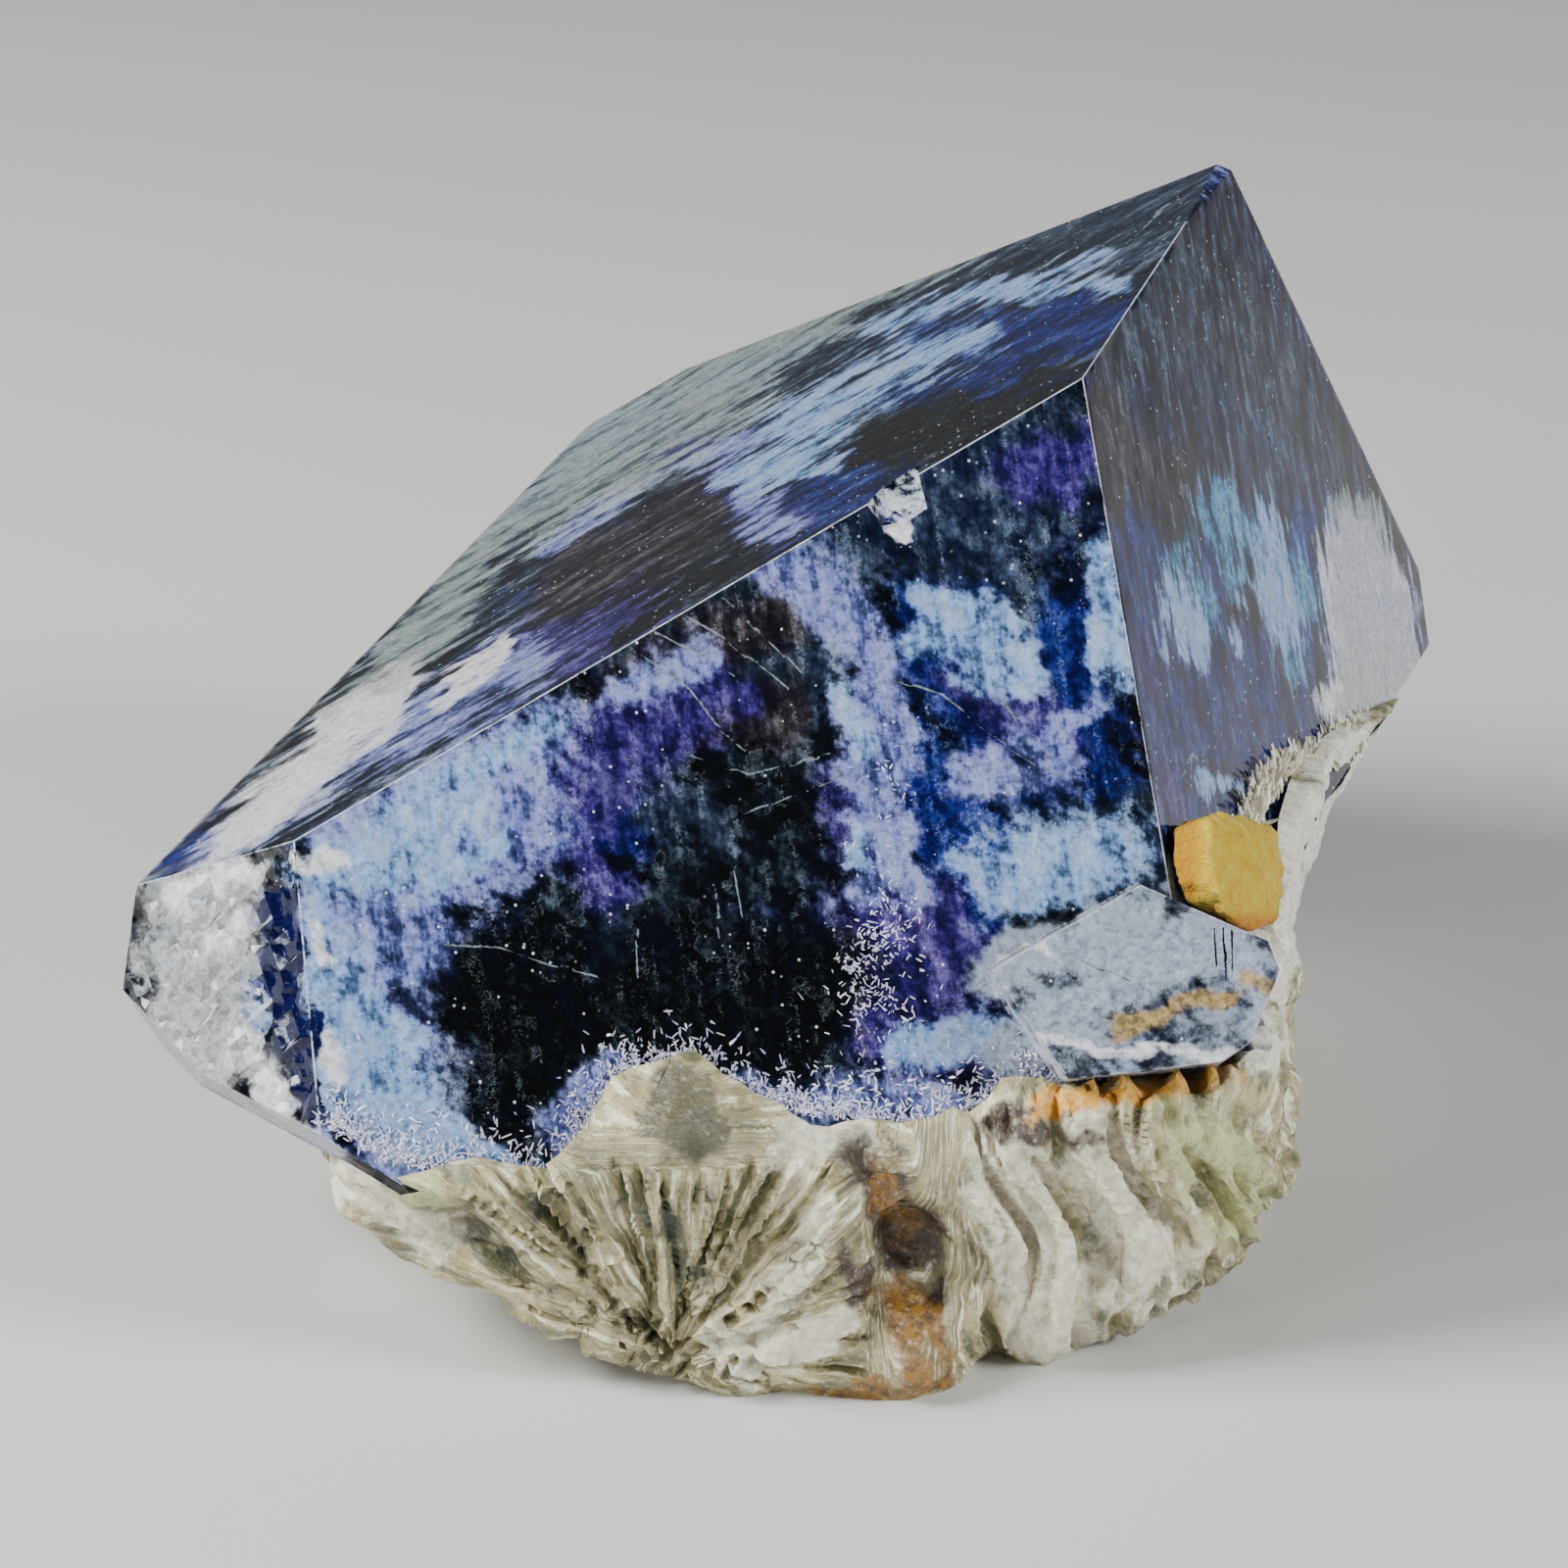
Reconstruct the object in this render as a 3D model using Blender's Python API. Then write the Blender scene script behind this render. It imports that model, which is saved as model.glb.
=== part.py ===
"""A blue-violet fluorite octahedron standing in a lump of silver-green mica.

Metres, +Z up, resting on the flat underside of the mica lump. The broad
octahedron face looks toward -Y, the tall corner stands at the right, +X.
"""
import math

import bpy
import bmesh
from mathutils import Matrix, Vector, noise

MM = 0.001

# The fluorite crystal
CRYSTAL_CENTRE = Vector((2.0, 16.0, 17.0))   # mm
# Each face: name, outward direction, distance in mm from the crystal's centre.
# The octahedron faces in the photo lie within 6 degrees of one lattice. Of those
# out of sight, the upper back leans 13 degrees off it and the left one 18.
CRYSTAL_FACES = (
    ("octahedron front", (0.0290, -0.8870, 0.4608), 16.67),
    ("octahedron upper left", (-0.4761, 0.0809, 0.8757), 8.31),
    ("octahedron right", (0.9041, -0.2894, 0.3143), 15.39),
    ("octahedron upper back", (0.2863, 0.8337, 0.4722), 22.71),
    ("octahedron lower back", (0.0200, 0.8849, -0.4654), 22.36),
    ("octahedron lower right", (0.5006, -0.1959, -0.8432), 13.75),
    ("octahedron left", (-0.9394, 0.3353, 0.0714), 18.66),
    ("broken lower left", (-0.5154, -0.4823, -0.7084), 26.09),
    ("broken left corner", (-0.7481, -0.4027, -0.5275), 28.42),
    ("cube left", (-0.7060, -0.6586, 0.2604), 25.96),
    ("cube right", (0.8220, 0.5105, -0.2525), 31.53),
    ("cube top", (0.3595, -0.1211, 0.9252), 18.98),
    ("chamfer upper left", (-0.8557, 0.4742, 0.2071), 21.50),
    ("broken foot", (-0.0300, -0.6400, -0.7680), 23.15),
    ("seat", (0.0000, 0.0995, -0.9950), 9.25),
)
# The apex where the front, upper left and right faces meet
APEX = Vector((10.37, 5.29, 32.03))
FRONT_NORMAL = Vector((0.0290, -0.8870, 0.4608))
# The clear block grown onto the lower right of the front face: outline in mm
# along the face, to the right of and above the apex
BLOCK_OUTLINE = (
    (-3.4, -20.7), (1.7, -17.8), (6.0, -19.7), (6.4, -20.7), (5.4, -23.1),
    (4.4, -23.8), (-0.8, -24.4),
)
BLOCK_PROUD = 2.0
BLOCK_DEPTH = 3.4
BLOCK_FLARE = 1.10
# The chip out of the ridge above the front face
CHIP_POINTS = (
    (2.2, 3.9, 29.3), (4.4, 4.2, 30.0), (5.1, 2.0, 27.4), (3.3, 2.1, 27.2),
    (3.2, 5.4, 29.2), (4.6, 5.4, 29.4), (3.6, 3.6, 27.9),
)
# Stepped pits on the rough cube face at the left: x, y, z, radius, depth
PITS = (
    (-21.8, 0.4, 12.6, 1.7, 0.45),
    (-20.3, -0.6, 14.6, 1.6, 0.35),
    (-20.4, -1.5, 11.4, 1.8, 0.40),
    (-18.4, -2.6, 15.3, 1.4, 0.30),
    (-18.6, -3.4, 12.6, 1.9, 0.45),
    (-18.9, -3.9, 10.4, 1.2, 0.35),
    (-16.9, -4.9, 11.8, 1.2, 0.25),
    (-17.3, -4.0, 14.4, 1.1, 0.30),
    (-22.4, 1.2, 10.9, 1.0, 0.30),
)

# The yellow grain at the right foot
GRAIN_FRONT = (
    (14.5, -2.5, 18.6), (15.3, -0.7, 18.2), (17.5, 3.7, 15.9), (17.9, 3.4, 14.4),
    (17.5, 1.0, 13.4), (16.1, -2.3, 14.2), (15.3, -3.9, 15.1), (14.7, -3.8, 16.9),
)
GRAIN_DEPTH = 3.0
GRAIN_INWARD = Vector((-0.86, 0.44, -0.25))

# The mica lump
LUMP_CENTRE = (1.5, 12.0)
# Azimuth in degrees, foot radius, belly radius, belly height, rim radius, rim height, mm
LUMP_STATIONS = (
    (-180, 17.0, 18.6, 3.4, 20.5, 8.4),
    (-160, 17.0, 19.2, 3.4, 19.8, 7.8),
    (-150, 16.6, 20.4, 3.6, 20.6, 7.4),
    (-140, 16.6, 22.0, 4.5, 22.4, 7.6),
    (-131, 17.4, 24.9, 5.4, 25.6, 8.2),
    (-124, 18.2, 23.6, 3.9, 25.0, 7.8),
    (-119, 18.6, 22.9, 3.1, 23.8, 7.6),
    (-114, 19.2, 22.4, 2.2, 23.0, 7.6),
    (-112, 19.7, 22.1, 1.9, 22.6, 9.3),
    (-109, 20.0, 21.8, 1.4, 22.1, 9.6),
    (-104, 20.8, 21.5, 1.1, 21.6, 9.6),
    (-101, 21.3, 21.9, 1.0, 21.2, 9.4),
    (-98, 21.7, 22.0, 1.4, 20.8, 9.1),
    (-94, 20.9, 21.7, 2.2, 20.9, 8.6),
    (-89, 21.4, 21.8, 2.4, 20.8, 8.4),
    (-83, 21.8, 22.1, 2.0, 20.8, 8.3),
    (-78, 21.2, 21.3, 2.4, 21.0, 8.6),
    (-73, 18.7, 20.4, 3.0, 21.0, 9.2),
    (-69, 20.7, 21.4, 2.6, 21.4, 9.7),
    (-65, 20.0, 21.8, 3.0, 21.8, 10.0),
    (-58, 19.7, 22.0, 3.4, 22.6, 10.4),
    (-50, 19.3, 21.9, 3.8, 22.9, 10.7),
    (-40, 17.8, 21.0, 4.0, 20.4, 10.2),
    (-25, 17.8, 18.4, 4.0, 17.8, 11.2),
    (-10, 17.2, 17.2, 4.2, 17.7, 13.6),
    (5, 16.8, 17.0, 4.4, 19.0, 14.2),
    (14, 17.5, 17.9, 4.8, 20.4, 13.9),
    (24, 18.6, 19.6, 5.2, 23.6, 12.9),
    (34, 20.4, 22.4, 5.4, 28.0, 11.6),
    (45, 22.6, 24.8, 5.2, 29.6, 11.3),
    (65, 24.0, 25.8, 5.0, 27.8, 11.6),
    (90, 24.2, 26.0, 5.0, 27.4, 11.4),
    (115, 24.0, 25.8, 4.8, 27.6, 11.2),
    (140, 21.0, 22.4, 4.6, 22.8, 10.9),
    (160, 18.6, 20.0, 4.0, 21.2, 10.2),
)
LUMP_COLUMNS = 200
FOOT_RINGS = 3
WALL_RINGS = 10
TOP_RINGS = (0.82, 0.55, 0.25)
# Blades of mica fan out from this point low on the front, x and z in mm
FAN_POINT = (-3.9, 0.6)
FAN_BLADES = 8.0
FAN_RELIEF = 0.75
# Draped ribs at the right of the front
RIB_PITCH = 2.1
RIB_RELIEF = 0.75
# The brown hollow between them
HOLLOW_X = 3.6
HOLLOW_WIDTH = 1.5
HOLLOW_RELIEF = 1.9
# The round lobe lying against the crystal
LOBE_CENTRE = (-4.1, 9.2)
LOBE_RADIUS = 2.7
LOBE_RELIEF = 0.9
CRUMB_RELIEF = 0.42
CRUMB_PITCH = 2.6
# Ledges of mica sheets round the sides and back
LEDGE_PITCH = 2.7
LEDGE_RELIEF = 0.75
NOISE_SEED = 11.3

# Clear space between pieces that touch, mm
GAP = 0.3
BOX_SIZE = 200.0
MERGE = 1e-4


def new_object(name, bm):
    bmesh.ops.recalc_face_normals(bm, faces=bm.faces)
    mesh = bpy.data.meshes.new(name)
    bm.to_mesh(mesh)
    bm.free()
    obj = bpy.data.objects.new(name, mesh)
    bpy.context.scene.collection.objects.link(obj)
    return obj


def material(name, colour, roughness, transmission=0.0, ior=1.45):
    mat = bpy.data.materials.new(name)
    mat.use_nodes = True
    shader = mat.node_tree.nodes["Principled BSDF"]
    shader.inputs["Base Color"].default_value = (*colour, 1.0)
    shader.inputs["Roughness"].default_value = roughness
    shader.inputs["Transmission Weight"].default_value = transmission
    shader.inputs["IOR"].default_value = ior
    return mat


def solid_from_faces(name, faces, centre, grow=0.0):
    """A convex solid bounded by faces, each moved outward by grow mm."""
    bm = bmesh.new()
    bmesh.ops.create_cube(bm, size=BOX_SIZE, matrix=Matrix.Translation(centre))
    for _, direction, distance in faces:
        normal = Vector(direction).normalized()
        bmesh.ops.bisect_plane(
            bm,
            geom=bm.verts[:] + bm.edges[:] + bm.faces[:],
            plane_co=centre + normal * (distance + grow),
            plane_no=normal,
            clear_outer=True,
        )
        rim = [edge for edge in bm.edges if edge.is_boundary]
        if rim:
            bmesh.ops.holes_fill(bm, edges=rim, sides=0)
    return new_object(name, bm)


def hull_object(name, points):
    bm = bmesh.new()
    for point in points:
        bm.verts.new(point)
    made = bmesh.ops.convex_hull(bm, input=bm.verts[:])
    inner = [item for item in made["geom_interior"] if isinstance(item, bmesh.types.BMVert)]
    bmesh.ops.delete(bm, geom=inner, context="VERTS")
    bmesh.ops.dissolve_limit(
        bm, angle_limit=math.radians(1.0), verts=bm.verts[:], edges=bm.edges[:]
    )
    return new_object(name, bm)


def grown_points(points, grow):
    """The same points moved away from their middle by grow mm."""
    middle = sum((Vector(p) for p in points), Vector()) / len(points)
    grown = []
    for point in points:
        out = Vector(point) - middle
        grown.append(middle + out.normalized() * (out.length + grow))
    return grown


def boolean(target, cutter, operation):
    """Applies one exact boolean and removes the cutter."""
    cutter.hide_render = True
    cutter.display_type = "WIRE"
    modifier = target.modifiers.new(operation.lower(), "BOOLEAN")
    modifier.operation = operation
    modifier.solver = "EXACT"
    modifier.object = cutter
    graph = bpy.context.evaluated_depsgraph_get()
    mesh = bpy.data.meshes.new_from_object(target.evaluated_get(graph))
    target.modifiers.clear()
    target.data = mesh
    bpy.data.objects.remove(cutter)


def clean(obj):
    bm = bmesh.new()
    bm.from_mesh(obj.data)
    bmesh.ops.remove_doubles(bm, verts=bm.verts[:], dist=MERGE)
    bmesh.ops.dissolve_degenerate(bm, edges=bm.edges[:], dist=MERGE)
    bmesh.ops.recalc_face_normals(bm, faces=bm.faces)
    bm.to_mesh(obj.data)
    bm.free()


def block_points(grow=0.0):
    """Corners of the clear block, front outline first, then the buried one."""
    normal = FRONT_NORMAL.normalized()
    along = (Vector((1, 0, 0)) - normal * normal.x).normalized()
    up = normal.cross(along)
    middle_a = sum(a for a, _ in BLOCK_OUTLINE) / len(BLOCK_OUTLINE)
    middle_b = sum(b for _, b in BLOCK_OUTLINE) / len(BLOCK_OUTLINE)
    points = []
    for lift, flare in ((BLOCK_PROUD, 1.0), (-BLOCK_DEPTH, BLOCK_FLARE)):
        for a, b in BLOCK_OUTLINE:
            here_a = middle_a + (a - middle_a) * flare
            here_b = middle_b + (b - middle_b) * flare
            points.append(APEX + along * here_a + up * here_b + normal * lift)
    return grown_points(points, grow) if grow else points


def grain_points():
    front = [Vector(p) for p in GRAIN_FRONT]
    inward = GRAIN_INWARD.normalized()
    middle = sum(front, Vector()) / len(front)
    back = [middle + (p - middle) * 0.8 + inward * GRAIN_DEPTH for p in front]
    crown = middle - inward * 0.5
    return front + back + [crown]


def crystal_solid(name, grow):
    body = solid_from_faces(name, CRYSTAL_FACES, CRYSTAL_CENTRE, grow)
    block = hull_object("block", block_points(grow * 1.6))
    boolean(body, block, "UNION")
    return body


def make_crystal():
    crystal = crystal_solid("fluorite_crystal", 0.0)
    boolean(crystal, hull_object("chip", CHIP_POINTS), "DIFFERENCE")
    for x, y, z, radius, depth in PITS:
        bm = bmesh.new()
        normal = Vector((-0.7060, -0.6586, 0.2604)).normalized()
        turn = normal.to_track_quat("Z", "Y").to_matrix().to_4x4()
        place = Matrix.Translation(nearest_on_cube_left(Vector((x, y, z)))) @ turn
        bmesh.ops.create_cone(
            bm, cap_ends=True, segments=4, radius1=radius * 0.35, radius2=radius,
            depth=depth * 2.0, matrix=place,
        )
        boolean(crystal, new_object("pit", bm), "DIFFERENCE")
    clean(crystal)
    return crystal


def nearest_on_cube_left(point):
    for name, direction, distance in CRYSTAL_FACES:
        if name == "cube left":
            normal = Vector(direction).normalized()
            return point - normal * ((point - CRYSTAL_CENTRE).dot(normal) - distance)
    return point


def lump_station(azimuth):
    """The five radii and heights of the lump at an azimuth in degrees."""
    rows = LUMP_STATIONS + ((180,) + LUMP_STATIONS[0][1:],)
    for low, high in zip(rows, rows[1:]):
        if low[0] <= azimuth <= high[0]:
            share = (azimuth - low[0]) / (high[0] - low[0])
            return [a + (b - a) * share for a, b in zip(low[1:], high[1:])]
    return list(rows[0][1:])


def smooth(edge0, edge1, value):
    share = min(1.0, max(0.0, (value - edge0) / (edge1 - edge0)))
    return share * share * (3.0 - 2.0 * share)


def lump_relief(x, y, z):
    """How far the broken surface stands out at a point, mm."""
    front = smooth(2.0, -3.0, y)
    # Blades that open upward from one point
    turn = math.degrees(math.atan2(z - FAN_POINT[1], x - FAN_POINT[0]))
    reach = math.hypot(x - FAN_POINT[0], z - FAN_POINT[1])
    in_fan = smooth(-14.5, -12.0, x) * smooth(3.0, 0.8, x) * smooth(0.4, 2.0, reach)
    blade = abs((turn / 180.0 * FAN_BLADES) % 1.0 - 0.5) * 2.0
    relief = front * in_fan * FAN_RELIEF * (blade ** 1.4 - 0.5)
    # Ribs that hang like cloth
    lean = x + 0.22 * z + 0.5 * math.sin(z * 0.9)
    in_ribs = smooth(4.8, 6.8, x)
    rib = abs((lean / RIB_PITCH) % 1.0 - 0.5) * 2.0
    relief += in_ribs * smooth(9.0, 5.0, y) * RIB_RELIEF * (rib ** 0.8 - 0.55)
    # The brown hollow
    across = (x - HOLLOW_X - 0.18 * (z - 4.0)) / HOLLOW_WIDTH
    tall = smooth(1.2, 3.2, z) * smooth(6.6, 4.8, z)
    relief -= front * HOLLOW_RELIEF * math.exp(-across * across) * tall
    # The lobe
    apart = math.hypot(x - LOBE_CENTRE[0], z - LOBE_CENTRE[1]) / LOBE_RADIUS
    relief += front * LOBE_RELIEF * smooth(1.25, 0.75, apart)
    # Crumbled mica everywhere
    place = Vector((x, y, z)) / CRUMB_PITCH + Vector((NOISE_SEED, 0, 0))
    coarse = noise.noise(place)
    fine = noise.noise(place * 2.4)
    relief += CRUMB_RELIEF * (1.1 * coarse + 0.6 * fine)
    # Ledges where whole sheets have broken away
    tilt = z + 0.14 * x - 0.08 * y + 3.0 * noise.noise(place * 0.45)
    ledge = (tilt / LEDGE_PITCH) % 1.0
    broken = (1.0 - front) * smooth(20.0, 12.0, x) * smooth(-0.35, 0.25, coarse)
    relief += broken * LEDGE_RELIEF * (smooth(0.0, 0.8, ledge) - 0.7)
    return relief


def lump_ring(share_foot, share_wall, columns):
    """One ring of points; shares run from foot to belly and belly to rim."""
    ring = []
    for i in range(columns):
        azimuth = -180.0 + 360.0 * i / columns
        foot, belly, belly_z, rim, rim_z = lump_station(azimuth)
        if share_foot < 1.0:
            radius = foot + (belly - foot) * share_foot ** 0.8
            z = belly_z * share_foot
        else:
            radius = belly + (rim - belly) * share_wall
            z = belly_z + (rim_z - belly_z) * share_wall
        spread = math.radians(azimuth)
        x = LUMP_CENTRE[0] + radius * math.cos(spread)
        y = LUMP_CENTRE[1] + radius * math.sin(spread)
        out = lump_relief(x, y, z) * smooth(0.0, 1.6, z)
        radius += out
        x = LUMP_CENTRE[0] + radius * math.cos(spread)
        y = LUMP_CENTRE[1] + radius * math.sin(spread)
        ring.append(Vector((x, y, z)))
    return ring


def make_lump():
    rings = []
    for i in range(FOOT_RINGS):
        rings.append(lump_ring(i / FOOT_RINGS, 0.0, LUMP_COLUMNS))
    for i in range(WALL_RINGS + 1):
        rings.append(lump_ring(1.0, i / WALL_RINGS, LUMP_COLUMNS))
    rim = rings[-1]
    middle = Vector((*LUMP_CENTRE, 14.0))
    for share in TOP_RINGS:
        rings.append([middle + (p - middle) * share + Vector((0, 0, 1.2)) for p in rim])
    bm = bmesh.new()
    rows = [[bm.verts.new(p) for p in ring] for ring in rings]
    for low, high in zip(rows, rows[1:]):
        for i in range(LUMP_COLUMNS):
            j = (i + 1) % LUMP_COLUMNS
            bm.faces.new((low[i], low[j], high[j], high[i]))
    bm.faces.new(list(reversed(rows[0])))
    top = bm.verts.new(middle + Vector((0, 0, 1.2)))
    for i in range(LUMP_COLUMNS):
        bm.faces.new((rows[-1][i], rows[-1][(i + 1) % LUMP_COLUMNS], top))
    sides = [face for face in bm.faces if len(face.verts) == 4]
    bmesh.ops.triangulate(bm, faces=sides)
    return new_object("mica_matrix", bm)


def make_matrix():
    lump = make_lump()
    boolean(lump, crystal_solid("socket", GAP), "DIFFERENCE")
    boolean(lump, hull_object("pocket", grown_points(grain_points(), 2.0 * GAP)), "DIFFERENCE")
    keep_largest(lump)
    clean(lump)
    return lump


def make_grain():
    grain = hull_object("yellow_grain", grain_points())
    boolean(grain, crystal_solid("socket", GAP), "DIFFERENCE")
    keep_largest(grain)
    clean(grain)
    return grain


def keep_largest(obj):
    """Drops the slivers that a cut leaves behind."""
    bm = bmesh.new()
    bm.from_mesh(obj.data)
    left = set(bm.faces)
    parts = []
    while left:
        stack = [left.pop()]
        part = list(stack)
        while stack:
            for edge in stack.pop().edges:
                for face in edge.link_faces:
                    if face in left:
                        left.remove(face)
                        stack.append(face)
                        part.append(face)
        parts.append(part)
    parts.sort(key=lambda part: sum(face.calc_area() for face in part), reverse=True)
    for part in parts[1:]:
        bmesh.ops.delete(bm, geom=part, context="FACES")
    bm.to_mesh(obj.data)
    bm.free()


def settle(objects):
    """Turns mm into metres and puts the middle of the foot at the origin."""
    corners = [v.co for obj in objects for v in obj.data.vertices]
    low = Vector((min(c.x for c in corners), min(c.y for c in corners), 0.0))
    high = Vector((max(c.x for c in corners), max(c.y for c in corners), 0.0))
    middle = (low + high) / 2.0
    for obj in objects:
        obj.data.transform(Matrix.Scale(MM, 4) @ Matrix.Translation(-middle))
    print("middle of the foot, mm:", tuple(round(c, 3) for c in middle))


def main():
    for obj in list(bpy.data.objects):
        bpy.data.objects.remove(obj)
    crystal = make_crystal()
    matrix = make_matrix()
    grain = make_grain()
    fluorite = material("fluorite", (0.16, 0.20, 0.52), 0.05, transmission=0.9, ior=1.434)
    mica = material("mica", (0.62, 0.61, 0.47), 0.45)
    yellow = material("yellow_mineral", (0.80, 0.56, 0.13), 0.4)
    crystal.data.materials.clear()
    crystal.data.materials.append(fluorite)
    matrix.data.materials.clear()
    matrix.data.materials.append(mica)
    grain.data.materials.clear()
    grain.data.materials.append(yellow)
    settle((crystal, matrix, grain))


main()
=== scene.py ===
"""The fluorite octahedron on mica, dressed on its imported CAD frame.

Helpers work in "drawn" millimetres, which are the frame's metres times 1000
plus SHIFT. The front view of the zones is the plane tilted 22 degrees back
from upright: across runs along X and up runs along that plane.
"""

import math

import bpy
import bmesh
import numpy as np
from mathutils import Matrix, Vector
from mathutils.geometry import delaunay_2d_cdt


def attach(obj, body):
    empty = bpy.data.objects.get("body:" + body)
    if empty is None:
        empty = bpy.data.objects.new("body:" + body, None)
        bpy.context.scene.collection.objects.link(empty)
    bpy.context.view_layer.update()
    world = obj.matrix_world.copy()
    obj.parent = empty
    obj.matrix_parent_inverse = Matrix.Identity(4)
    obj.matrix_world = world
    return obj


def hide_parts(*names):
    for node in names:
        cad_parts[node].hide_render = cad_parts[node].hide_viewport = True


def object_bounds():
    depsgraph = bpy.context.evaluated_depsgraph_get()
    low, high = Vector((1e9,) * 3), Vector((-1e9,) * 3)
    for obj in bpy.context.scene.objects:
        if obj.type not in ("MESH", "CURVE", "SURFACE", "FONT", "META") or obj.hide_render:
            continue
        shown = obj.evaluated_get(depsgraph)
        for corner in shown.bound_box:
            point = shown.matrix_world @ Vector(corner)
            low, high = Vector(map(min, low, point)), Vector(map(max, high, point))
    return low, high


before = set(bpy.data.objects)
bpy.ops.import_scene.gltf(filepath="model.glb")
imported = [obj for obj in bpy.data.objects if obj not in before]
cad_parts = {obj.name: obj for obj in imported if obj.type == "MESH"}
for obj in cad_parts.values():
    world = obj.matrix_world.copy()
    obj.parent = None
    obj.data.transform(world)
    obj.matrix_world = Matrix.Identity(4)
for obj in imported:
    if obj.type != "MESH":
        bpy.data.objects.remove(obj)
cad_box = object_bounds()

SHIFT = np.array((1.72, 16.455, 0.0))
TILT = math.radians(22.0)
PLANE_HEIGHT = 18.95
CRYSTAL_CENTRE = np.array((2.0, 16.0, 17.0))
# Faces of the crystal: the group that their colour zones belong to, outward
# direction, distance from the centre in mm
CRYSTAL_FACES = (
    ("front", (0.0290, -0.8870, 0.4608), 16.67),
    ("upper", (-0.4761, 0.0809, 0.8757), 8.31),
    ("right", (0.9041, -0.2894, 0.3143), 15.39),
    ("back", (0.2863, 0.8337, 0.4722), 22.71),
    ("back", (0.0200, 0.8849, -0.4654), 22.36),
    ("back", (0.5006, -0.1959, -0.8432), 13.75),
    ("back", (-0.9394, 0.3353, 0.0714), 18.66),
    ("front", (-0.5154, -0.4823, -0.7084), 26.09),
    ("front", (-0.7481, -0.4027, -0.5275), 28.42),
    ("front", (-0.7060, -0.6586, 0.2604), 25.96),
    ("right", (0.8220, 0.5105, -0.2525), 31.53),
    ("back", (0.3595, -0.1211, 0.9252), 18.98),
    ("upper", (-0.8557, 0.4742, 0.2071), 21.50),
    ("front", (-0.0300, -0.6400, -0.7680), 23.15),
    ("back", (0.0000, 0.0995, -0.9950), 9.25),
)
GROUPS = ("front", "upper", "right", "back")
# The same faces with unit directions
PLANES = [
    (group, np.array(direction) / np.linalg.norm(direction), distance)
    for group, direction, distance in CRYSTAL_FACES
]
FRONT_FACE, UPPER_FACE, RIGHT_FACE, ROUGH_FACE = PLANES[0], PLANES[1], PLANES[2], PLANES[9]

# Colour layers of the fluorite, painted in this order
LAYERS = (
    "slate", "warm", "royal", "violet", "dark", "lilac", "teal", "ice", "pale", "milk",
    "frost", "stain", "white", "ink", "rub", "line", "scratch",
)
# Further values kept with the layers: which way the zones are streaked
GUIDES = ("on upper", "on right")
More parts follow.
